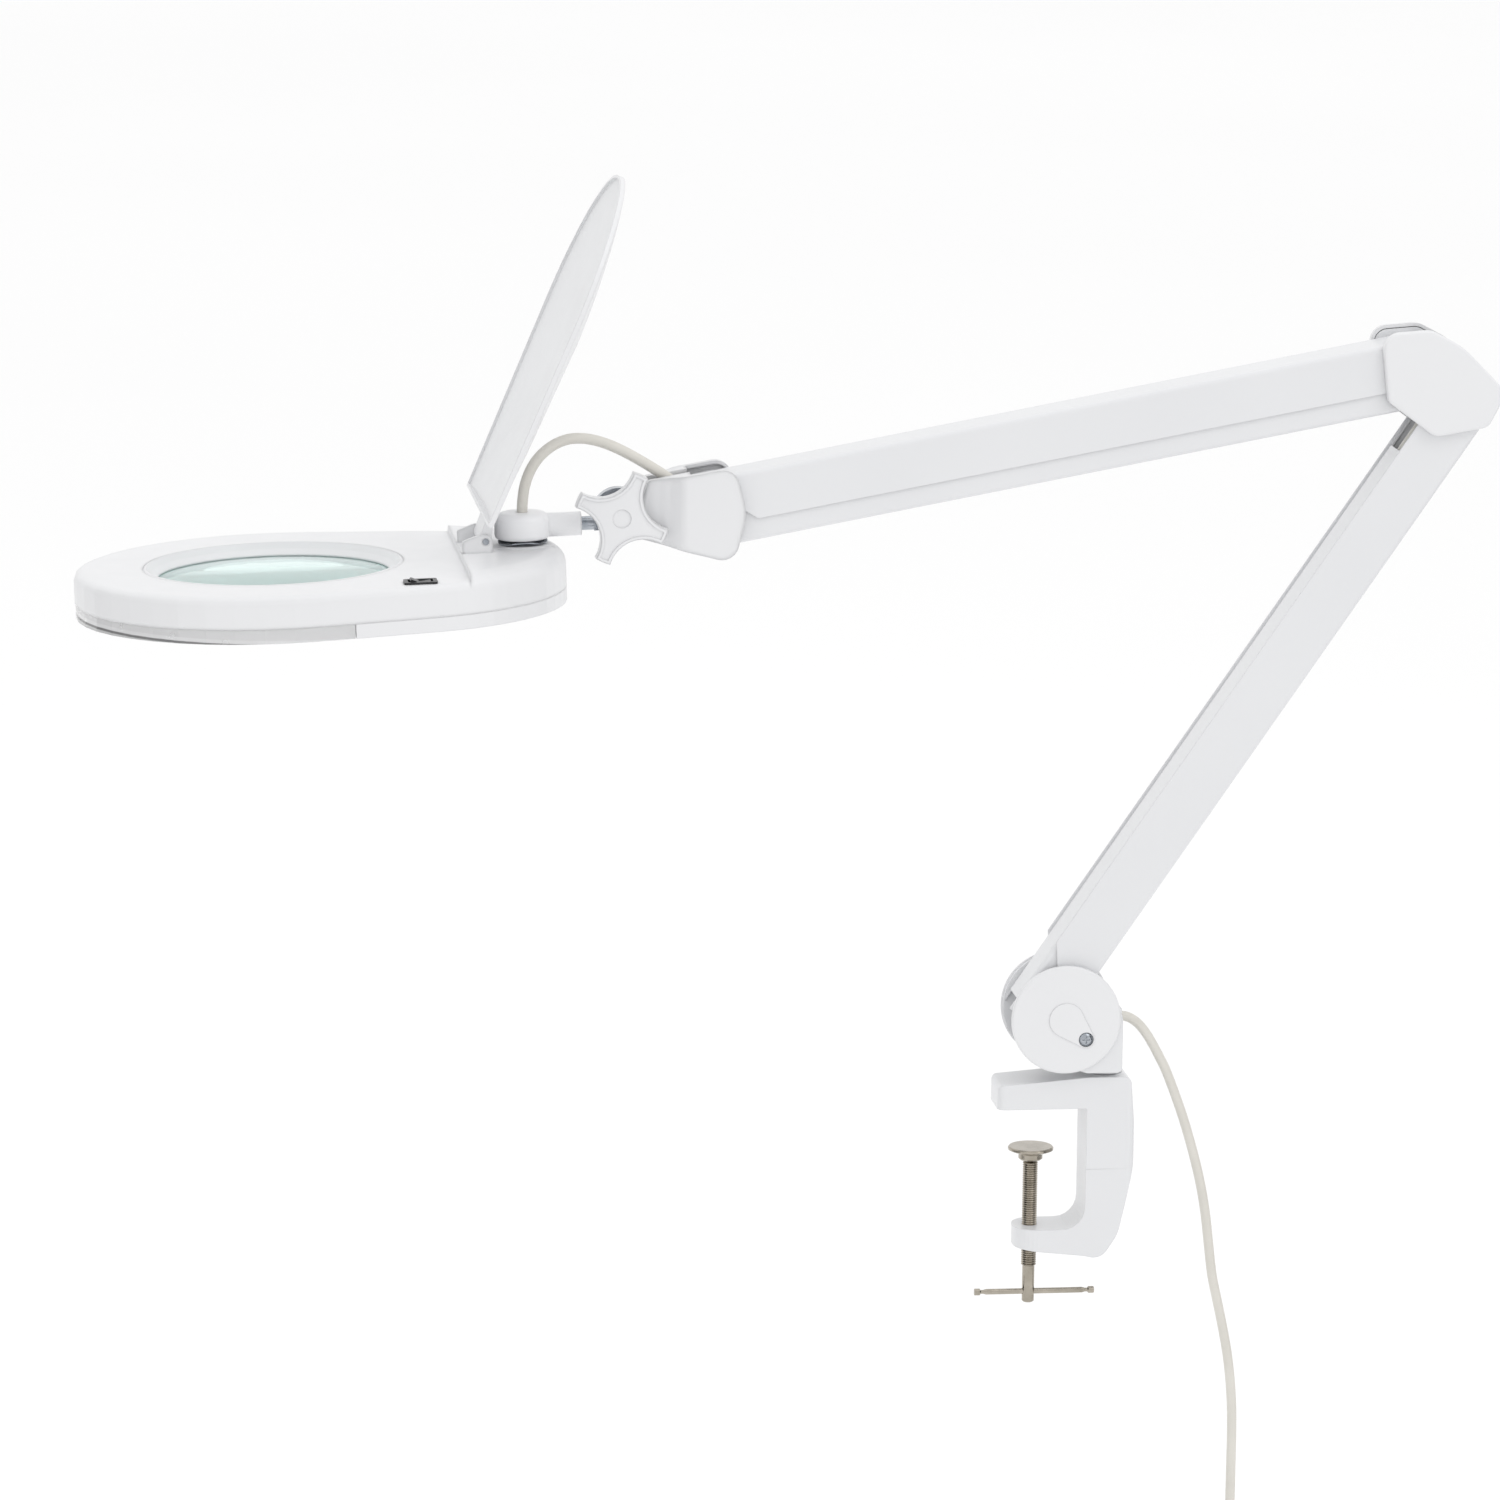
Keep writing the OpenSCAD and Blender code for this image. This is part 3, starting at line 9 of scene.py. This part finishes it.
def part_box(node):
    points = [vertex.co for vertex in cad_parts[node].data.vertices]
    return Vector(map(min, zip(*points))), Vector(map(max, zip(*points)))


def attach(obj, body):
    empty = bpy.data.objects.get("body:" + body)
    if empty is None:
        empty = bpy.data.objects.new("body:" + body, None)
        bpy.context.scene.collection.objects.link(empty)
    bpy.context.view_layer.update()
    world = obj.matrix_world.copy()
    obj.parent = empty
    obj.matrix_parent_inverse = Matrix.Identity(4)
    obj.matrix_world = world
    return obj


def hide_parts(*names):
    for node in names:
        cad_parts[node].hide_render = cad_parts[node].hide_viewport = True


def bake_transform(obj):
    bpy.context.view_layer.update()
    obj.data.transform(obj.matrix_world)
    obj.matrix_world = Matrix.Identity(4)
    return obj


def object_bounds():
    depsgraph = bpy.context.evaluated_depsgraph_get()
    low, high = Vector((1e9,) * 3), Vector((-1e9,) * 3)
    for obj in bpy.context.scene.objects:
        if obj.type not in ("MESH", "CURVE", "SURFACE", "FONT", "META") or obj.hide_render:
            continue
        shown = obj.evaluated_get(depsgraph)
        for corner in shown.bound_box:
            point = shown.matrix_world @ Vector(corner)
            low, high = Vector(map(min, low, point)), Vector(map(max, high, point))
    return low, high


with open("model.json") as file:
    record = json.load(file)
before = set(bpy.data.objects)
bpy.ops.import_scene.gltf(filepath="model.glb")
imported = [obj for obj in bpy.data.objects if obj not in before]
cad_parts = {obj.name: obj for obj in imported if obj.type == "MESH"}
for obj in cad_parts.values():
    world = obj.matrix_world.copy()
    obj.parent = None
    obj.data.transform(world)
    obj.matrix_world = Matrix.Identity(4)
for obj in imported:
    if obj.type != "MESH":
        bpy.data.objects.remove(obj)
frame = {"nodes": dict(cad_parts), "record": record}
cad_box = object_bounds()


def at(x, y, z):
    """A point given in millimetres, in metres."""
    return Vector((x, y, z)) / 1000


def centre(node):
    lo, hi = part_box(node)
    return (Vector(lo) + Vector(hi)) / 2


def joint(name):
    return next(j for j in frame["record"]["behaviour"]["joints"] if j["name"] == name)


def pivot(name):
    return Vector(joint(name)["pos_m"])


# ---- Camera ----

CAMERA_YAW = 6.9  # degrees to the right of straight ahead
CAMERA_PITCH = 11.1  # degrees below the horizon
CAMERA_ROLL = 0.6
CAMERA_PLACE = at(-685, -4099.1, 1049.2)
LENS_LENGTH = 156  # mm, on a sensor 36 mm wide
VIEW_END = 200


def make_camera():
    data = bpy.data.cameras.new("view")
    data.lens = LENS_LENGTH
    data.sensor_width = 36
    data.clip_end = VIEW_END
    cam = bpy.data.objects.new("view", data)
    bpy.context.scene.collection.objects.link(cam)
    yaw, pitch, roll = (math.radians(a) for a in (CAMERA_YAW, CAMERA_PITCH, CAMERA_ROLL))
    turn = Matrix.Rotation(-yaw, 3, "Z") @ Matrix.Rotation(math.pi / 2 - pitch, 3, "X")
    cam.matrix_world = Matrix.Translation(CAMERA_PLACE) @ (
        turn @ Matrix.Rotation(roll, 3, "Z")
    ).to_4x4()
    bpy.context.scene.camera = cam


make_camera()


# ---- Materials ----

NOISE_LOW, NOISE_HIGH = 0.3, 0.7  # a noise value's usual span


class Shader:
    """A Principled material whose nodes are added one after another."""

    def __init__(self, name, colour, edge=None, **sockets):
        self.material = bpy.data.materials.new(name)
        self.material.use_nodes = True
        self.tree = self.material.node_tree
        self.main = self.tree.nodes["Principled BSDF"]
        self.main.inputs["Base Color"].default_value = (*colour, 1)
        for key, value in sockets.items():
            self.main.inputs[key.replace("_", " ")].default_value = value
        self.height = None
        if edge:
            self.soft_edge(edge)

    def node(self, kind, **settings):
        n = self.tree.nodes.new(kind)
        for key, value in settings.items():
            if hasattr(n, key):
                setattr(n, key, value)
            else:
                n.inputs[key.replace("_", " ")].default_value = value
        return n

    def link(self, a, b):
        self.tree.links.new(a, b)

    def soft_edge(self, radius):
        """Edges catch the light as if they were rounded."""
        n = self.node("ShaderNodeBevel", samples=6, Radius=radius)
        self.height = n.outputs["Normal"]
        self.link(self.height, self.main.inputs["Normal"])

    def place(self):
        """Object coordinates, so a pattern keeps its size on every piece."""
        return self.node("ShaderNodeTexCoord").outputs["Object"]

    def noise(self, scale, detail):
        n = self.node("ShaderNodeTexNoise", Scale=scale, Detail=detail, Roughness=0.5)
        self.link(self.place(), n.inputs["Vector"])
        return n.outputs["Fac"]

    def spread(self, value, low, high, start=NOISE_LOW, end=NOISE_HIGH):
        """The value, from start to end, spread from low to high."""
        n = self.node("ShaderNodeMapRange")
        n.inputs["From Min"].default_value = start
        n.inputs["From Max"].default_value = end
        n.inputs["To Min"].default_value = low
        n.inputs["To Max"].default_value = high
        self.link(value, n.inputs["Value"])
        return n.outputs["Result"]

    def tint(self, value, dark, light):
        """Base colour that drifts between two colours."""
        ramp = self.node("ShaderNodeValToRGB")
        first, last = ramp.color_ramp.elements
        first.position, first.color = NOISE_LOW, (*dark, 1)
        last.position, last.color = NOISE_HIGH, (*light, 1)
        self.link(value, ramp.inputs["Fac"])
        self.link(ramp.outputs["Color"], self.main.inputs["Base Color"])

    def rough(self, value, low, high):
        """Roughness that drifts between two values."""
        self.link(self.spread(value, low, high), self.main.inputs["Roughness"])

    def bump(self, value, distance):
        """Surface grain of that height, in metres, on top of the soft edges."""
        n = self.node("ShaderNodeBump", Strength=1.0, Distance=distance)
        self.link(value, n.inputs["Height"])
        if self.height is not None:
            self.link(self.height, n.inputs["Normal"])
        self.height = n.outputs["Normal"]
        self.link(self.height, self.main.inputs["Normal"])


def powder_coat():
    s = Shader("powder_coat", (0.715, 0.72, 0.735), edge=0.0007, Roughness=0.38, Coat_Weight=0.3)
    s.main.inputs["Coat Roughness"].default_value = 0.2
    s.tint(s.noise(9, 2), (0.705, 0.71, 0.725), (0.725, 0.73, 0.743))
    s.rough(s.noise(900, 2), 0.34, 0.42)
    s.bump(s.noise(1400, 2), 0.000008)
    return s.material


def moulded_white(name="moulded_white", edge=0.0008, painted_light_gain=1.0):
    """White plastic; edge is the radius of its soft edges and gain scales its colour: above 1 it is
    painted light, below 1 painted shade.
    """
    dark, mid, light = (
        tuple(c * painted_light_gain for c in shade)
        for shade in ((0.739, 0.742, 0.754), (0.745, 0.748, 0.76), (0.751, 0.754, 0.766))
    )
    s = Shader(name, mid, edge=edge, Roughness=0.34)
    s.tint(s.noise(8, 2), dark, light)
    s.rough(s.noise(60, 3), 0.3, 0.38)
    s.bump(s.noise(3200, 2), 0.000004)
    return s.material


def zinc_plated():
    s = Shader("zinc_plated", (0.37, 0.395, 0.43), edge=0.0003, Metallic=1.0, Roughness=0.18)
    s.tint(s.noise(160, 4), (0.29, 0.315, 0.35), (0.45, 0.475, 0.51))
    s.rough(s.noise(420, 3), 0.12, 0.24)
    return s.material


def nickel_plated():
    s = Shader("nickel_plated", (0.4, 0.365, 0.31), edge=0.0003, Metallic=1.0, Roughness=0.14)
    s.tint(s.noise(90, 3), (0.33, 0.3, 0.25), (0.47, 0.43, 0.37))
    s.rough(s.noise(500, 3), 0.1, 0.2)
    return s.material


def cord_jacket():
    s = Shader("cord_jacket", (0.66, 0.64, 0.59), Roughness=0.42)
    s.tint(s.noise(40, 3), (0.64, 0.62, 0.57), (0.68, 0.66, 0.61))
    s.rough(s.noise(300, 2), 0.36, 0.5)
    s.bump(s.noise(1800, 2), 0.00001)
    return s.material


def black_moulding():
    s = Shader("black_moulding", (0.012, 0.012, 0.014), edge=0.0004, Roughness=0.35)
    s.tint(s.noise(90, 3), (0.009, 0.009, 0.011), (0.02, 0.02, 0.022))
    s.rough(s.noise(400, 2), 0.28, 0.42)
    s.bump(s.noise(2600, 2), 0.00001)
    return s.material


def prong_brass():
    s = Shader("prong_brass", (0.78, 0.62, 0.32), Metallic=1.0, Roughness=0.25)
    s.tint(s.noise(200, 3), (0.68, 0.52, 0.25), (0.82, 0.67, 0.37))
    s.rough(s.noise(900, 2), 0.18, 0.34)
    return s.material


# Painted light on the diffuser: the dark pair of stops is painted shade of the groove, and the
# bright pair is a painted highlight on the lip.
DIFFUSER_PAINTED_BANDS = (  # share of the height, grey there
    (0.12, 0.8), (0.16, 0.3), (0.22, 0.3), (0.26, 0.97), (0.36, 0.97), (0.41, 0.87),
)


def clear_diffuser():
    """Frosted wall with a painted highlight along its lip and a line of painted shade for its
    groove near the lower edge.
    """
    s = Shader("clear_diffuser", (0.93, 0.935, 0.94), Roughness=0.2, IOR=1.49)
    s.main.inputs["Transmission Weight"].default_value = 0.4
    low, high = (corner[2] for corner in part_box("diffuser_ring"))
    split = s.node("ShaderNodeSeparateXYZ")
    s.link(s.place(), split.inputs["Vector"])
    ramp = s.node("ShaderNodeValToRGB")
    ramp.color_ramp.interpolation = "EASE"
    first, last = ramp.color_ramp.elements
    first.position, first.color = 0.0, (0.8, 0.8, 0.81, 1)
    last.position, last.color = 1.0, (0.86, 0.865, 0.87, 1)
    for position, shade in DIFFUSER_PAINTED_BANDS:
        ramp.color_ramp.elements.new(position).color = (shade, shade, shade * 1.01, 1)
    s.link(s.spread(split.outputs["Z"], 0, 1, low, high), ramp.inputs["Fac"])
    s.link(ramp.outputs["Color"], s.main.inputs["Base Color"])
    s.rough(s.noise(70, 2), 0.12, 0.28)
    return s.material


def lens_glass():
    s = Shader("lens_glass", (0.8, 1.0, 0.97), Roughness=0.01, IOR=1.52)
    s.main.inputs["Transmission Weight"].default_value = 0.76
    s.rough(s.noise(30, 2), 0.004, 0.02)
    return s.material


def board_white():
    s = Shader("board_white", (0.9, 0.9, 0.88), Roughness=0.5)
    s.tint(s.noise(60, 3), (0.86, 0.86, 0.84), (0.92, 0.92, 0.9))
    return s.material


def board_green():
    s = Shader("board_green", (0.03, 0.22, 0.08), Roughness=0.4)
    s.tint(s.noise(220, 3), (0.02, 0.17, 0.06), (0.04, 0.26, 0.1))
    return s.material


def diode():
    s = Shader("diode", (0.92, 0.86, 0.5), Roughness=0.3)
    s.tint(s.noise(500, 2), (0.9, 0.83, 0.42), (0.94, 0.9, 0.62))
    return s.material


MATERIALS = {
    "white_paint": powder_coat(),
    "white_plastic": moulded_white(),
    "zinc_steel": zinc_plated(),
    "nickel_steel": nickel_plated(),
    "cord": cord_jacket(),
    "black_plastic": black_moulding(),
    "brass": prong_brass(),
    "clear_plastic": clear_diffuser(),
    "lens_glass": lens_glass(),
    "board": board_white(),
    "green_board": board_green(),
    "led": diode(),
}


# These four show wider rounded edges than their slot's plain finish gives. The dome's copy is
# painted 12 % lighter, as painted light against the shade of the lid above it, and the bracket
# covers' copies are painted 1.5 % darker, as painted shade.
ROUNDER_EDGES_AND_PAINTED_LIGHT = {
    "head_housing": moulded_white("housing_white", 0.004),
    # painted light: a 12 % brighter copy of the white plastic
    "neck_dome": moulded_white("dome_white_painted_light", 0.003, 1.12),
    # painted shade: both bracket covers get a 1.5 % darker copy of the white plastic
    "bracket_cover_near": moulded_white("bracket_near_painted_shade", 0.005, 0.985),
    "bracket_cover_far": moulded_white("bracket_far_painted_shade", 0.005, 0.985),
}


def dress_nodes():
    for part in frame["record"]["subparts"]:
        name = part["node"]
        piece = frame["nodes"][name]
        piece.data.materials.clear()
        piece.data.materials.append(ROUNDER_EDGES_AND_PAINTED_LIGHT.get(name, MATERIALS[part["material_slot"]]))


dress_nodes()


# ---- Helpers for new pieces ----


def curve_object(name, points, radius, sides):
    """A round tube of that radius along the points."""
    data = bpy.data.curves.new(name, "CURVE")
    data.dimensions = "3D"
    data.bevel_depth = radius
    data.bevel_resolution = sides
    data.use_fill_caps = True
    spline = data.splines.new("POLY")
    spline.points.add(len(points) - 1)
    for p, co in zip(spline.points, points):
        p.co = (*co, 1)
    obj = bpy.data.objects.new(name, data)
    bpy.context.scene.collection.objects.link(obj)
    return obj


def to_mesh(obj):
    """The curve's own tube as a mesh object of the same name."""
    bpy.context.view_layer.update()
    mesh = bpy.data.meshes.new_from_object(obj.evaluated_get(bpy.context.evaluated_depsgraph_get()))
    name = obj.name
    bpy.data.objects.remove(obj)
    made = bpy.data.objects.new(name, mesh)
    bpy.context.scene.collection.objects.link(made)
    for face in mesh.polygons:
        face.use_smooth = True
    return made


def finish_piece(obj, body, slot, *nodes):
    """Gives a new piece its material and its body, and hides the CAD nodes that it stands for."""
    obj.data.materials.clear()
    obj.data.materials.append(MATERIALS[slot])
    if body:
        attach(obj, body)
    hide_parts(*nodes)


def catmull(points, steps):
    """A smooth line through the points."""
    ends = [points[0] * 2 - points[1], *points, points[-1] * 2 - points[-2]]
    line = []
    for a, b, c, d in zip(ends, ends[1:], ends[2:], ends[3:]):
        for i in range(steps):
            t = i / steps
            line.append(
                0.5
                * (
                    2 * b
                    + (c - a) * t
                    + (2 * a - 5 * b + 4 * c - d) * t**2
                    + (3 * b - a - 3 * c + d) * t**3
                )
            )
    return [*line, points[-1]]


# ---- Mains cord ----

CORD_R = 0.0032
CORD = [
    (52, 58.2), (57, 58.2), (61.5, 57.6), (66, 55.6), (71, 51.5), (76, 45), (80.5, 37.5),
    (85, 29), (89, 21), (95, 6), (101, -10.5), (106.5, -28), (111.5, -46), (115.5, -63.5),
    (118.5, -81.5), (120.8, -100), (123.5, -120), (127.5, -138), (131.5, -156), (135, -174),
    (137.5, -192.5), (139, -211.5), (139.5, -231), (139.5, -251), (139.5, -271),
    (139.5, -291), (139.5, -308), (139.5, -319),
]
COIL_R = 0.035  # middle of the turns
COIL_TURNS = 6
COIL_RING = 0.0074  # the turns lie on a ring of this radius inside the wrap
COIL_SLOTS = 7
COIL_STEPS = 40  # points in a turn
PLUG_ENTRY = 0.004  # how far the cord reaches into the plug
DROP_STEPS = 6
COIL_LEAD_IN = 0.004  # the hanging run ends this far above the coil's first point


def coil_point(turns, middle):
    """Point on the coil, so many turns after the cord has come down to its right side."""
    slot = math.pi * 2 / COIL_SLOTS * (turns - 0.5)
    out = COIL_R + COIL_RING * math.cos(slot)
    angle = -2 * math.pi * turns
    return middle + Vector(
        (out * math.cos(angle), COIL_RING * math.sin(slot), out * math.sin(angle))
    )


def make_mains_cord():
    middle = centre("cord_coil")
    run = [at(x, 0, z) for x, z in CORD]
    line = catmull(run, 5)
    first = coil_point(0, middle)
    line = [p for p in line if p.z > first.z + COIL_LEAD_IN]
    count = COIL_TURNS * COIL_STEPS
    turns = [coil_point(COIL_TURNS * i / count, middle) for i in range(count + 1)]
    plug_top = Vector(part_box("plug_body")[1]).z
    last = turns[-1]
    fall = plug_top - PLUG_ENTRY - last.z
    drop = [
        Vector((last.x, last.y, last.z + fall * i / DROP_STEPS)) for i in range(1, DROP_STEPS + 1)
    ]
    points = [*line, *turns, *drop]
    cord = curve_object("mains_lead", points, CORD_R, 5)
    finish_piece(cord, "base", "cord", "mains_cord", "cord_coil")


make_mains_cord()

# ---- Lamp cable from the bracket to the dome ----

LEAD_R = 0.0035
LEAD = [
    (-43.6, 6.5), (-40, 3), (-35, -1), (-24, -8), (-13.5, -14.2), (-3.3, -19.5), (7, -23.6),
    (17.5, -25.9), (28, -25.6), (38, -21.6), (46.5, -14.5), (52.5, -5.5), (56, 4.6),
    (57.4, 15), (57.6, 25), (57.6, 35),
]


def make_lamp_cable():
    tilt = pivot("head_tilt")
    start = tilt + at(-4, 0, 22)
    line = catmull([start + at(-x, 0, -z) for x, z in LEAD], 4)
    cable = to_mesh(curve_object("lamp_cable", line, LEAD_R, 5))
    finish_piece(cable, None, "cord", "head_cable")
    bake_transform(cable)


make_lamp_cable()

# ---- Balance springs ----

WIRE_R = 0.001
SPRING_R = 0.0052 - WIRE_R
HOOK_R = 0.00315
HOOK_STEPS = 13
HOOK_START, HOOK_SWEEP = -150, 330  # degrees
HOOK_END = 180
STRAIGHT = 0.004  # wire between a hook and the coil's run-in
RUN_IN = 0.003
WIRE_PITCH = 0.0024
TURN_STEPS = 14
RAMP_STEPS = 10  # points over which the coil opens to its full radius


def spring_line(start, end, length):
    """Close-wound spring with a hook round each end point, in the plane y = constant."""
    along = (end - start).normalized()
    side = Vector((0, 1, 0))
    up = side.cross(along)
    mid = (start + end) / 2
    a, b = mid - along * length / 2, mid + along * length / 2
    points = []
    for i in range(HOOK_STEPS + 1):
        t = math.radians(HOOK_START + HOOK_SWEEP * i / HOOK_STEPS)
        points.append(start + HOOK_R * (math.cos(t) * up + math.sin(t) * along))
    points.append(start + along * (HOOK_R + STRAIGHT))
    points.append(a - along * RUN_IN)
    turns = int(length / WIRE_PITCH)
    count = turns * TURN_STEPS
    for i in range(count + 1):
        t = i / count
        angle = 2 * math.pi * turns * t
        ramp = min(1, i / RAMP_STEPS, (count - i) / RAMP_STEPS)
        out = math.cos(angle) * up + math.sin(angle) * side
        points.append(a + along * length * t + SPRING_R * ramp * out)
    points.append(b + along * RUN_IN)
    points.append(end - along * (HOOK_R + STRAIGHT))
    for i in range(HOOK_STEPS + 1):
        t = math.radians(HOOK_END - HOOK_SWEEP * i / HOOK_STEPS)
        points.append(end + HOOK_R * (math.cos(t) * up + math.sin(t) * along))
    return points


def make_springs(node, arm_body, anchor_node, bar_node, length):
    """Both springs of an arm, which swing with it inside its channel."""
    start, end = centre(anchor_node), centre(bar_node)
    half = (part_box(node)[1][1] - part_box(node)[0][1]) / 2 - WIRE_R - SPRING_R
    for name, side in (("near", -1), ("far", 1)):
        shift = Vector((0, side * half, 0))
        line = spring_line(start + shift, end + shift, length)
        piece = to_mesh(curve_object(f"{node}_{name}", line, WIRE_R, 2))
        finish_piece(piece, arm_body, "zinc_steel", node)


make_springs("lower_springs", "lower_arm", "base_spring_anchor", "lower_spring_bar", 0.112)
make_springs("upper_springs", "upper_arm", "elbow_spring_anchor", "upper_spring_bar", 0.126)


# ---- Floor and light ----

FLOOR_DROP = 0.12  # below the lowest CAD point
FLOOR_HALF = 40
CARDS = {  # name: place to the side, half depth, lowest, highest
    "card_left": (-1.6, 0.9, -0.45, 0.9),
    "card_right": (1.4, 0.9, -0.45, 0.9),
}
AREA_LIGHTS = (  # name, place, target, size, watts
    ("key", (1.6, -1.8, 3.0), (-0.2, 0, 0.3), (1.8, 1.8), 16),
    ("fill", (-2.6, -2.4, 1.4), (-0.1, 0, 0.2), (2.2, 2.2), 2.5),
    ("top", (-0.3, 0.5, 3.0), (-0.2, 0, 0.3), (2.4, 1.8), 7),
)


def make_floor():
    mesh = bpy.data.meshes.new("floor")
    r, z = FLOOR_HALF, cad_box[0].z - FLOOR_DROP
    mesh.from_pydata([(-r, -r, z), (r, -r, z), (r, r, z), (-r, r, z)], [], [(0, 1, 2, 3)])
    floor = bpy.data.objects.new("floor", mesh)
    bpy.context.scene.collection.objects.link(floor)
    s = Shader("pale_floor", (0.98, 0.98, 0.98), Roughness=0.95)
    s.tint(s.noise(0.4, 2), (0.975, 0.975, 0.975), (0.985, 0.985, 0.985))
    mesh.materials.append(s.material)


def dark_cards():
    """Black cards that only reflections see, so metal shows dark lines along its sides."""
    for name, (x, y, low, high) in CARDS.items():
        mesh = bpy.data.meshes.new(name)
        corners = [(x, -y, low), (x, y, low), (x, y, high), (x, -y, high)]
        mesh.from_pydata(corners, [], [(0, 1, 2, 3)])
        card = bpy.data.objects.new(name, mesh)
        bpy.context.scene.collection.objects.link(card)
        card.visible_camera = card.visible_diffuse = False
        card.visible_shadow = card.visible_transmission = False
        s = Shader(name, (0.02, 0.02, 0.02), Roughness=0.9)
        s.tint(s.noise(2, 2), (0.015, 0.015, 0.015), (0.025, 0.025, 0.025))
        mesh.materials.append(s.material)


def area_light(name, place, target, size, power):
    data = bpy.data.lights.new(name, "AREA")
    data.shape = "RECTANGLE"
    data.size, data.size_y = size
    data.energy = power
    light = bpy.data.objects.new(name, data)
    light.location = place
    light.rotation_euler = (Vector(target) - Vector(place)).to_track_quat("-Z", "Y").to_euler()
    bpy.context.scene.collection.objects.link(light)


def make_light():
    world = bpy.data.worlds.new("studio")
    world.use_nodes = True
    world.node_tree.nodes["Background"].inputs["Color"].default_value = (1, 1, 1, 1)
    world.node_tree.nodes["Background"].inputs["Strength"].default_value = 1.0
    bpy.context.scene.world = world
    for light in AREA_LIGHTS:
        area_light(*light)


make_floor()
dark_cards()
make_light()
bpy.context.scene.view_settings.view_transform = "Standard"
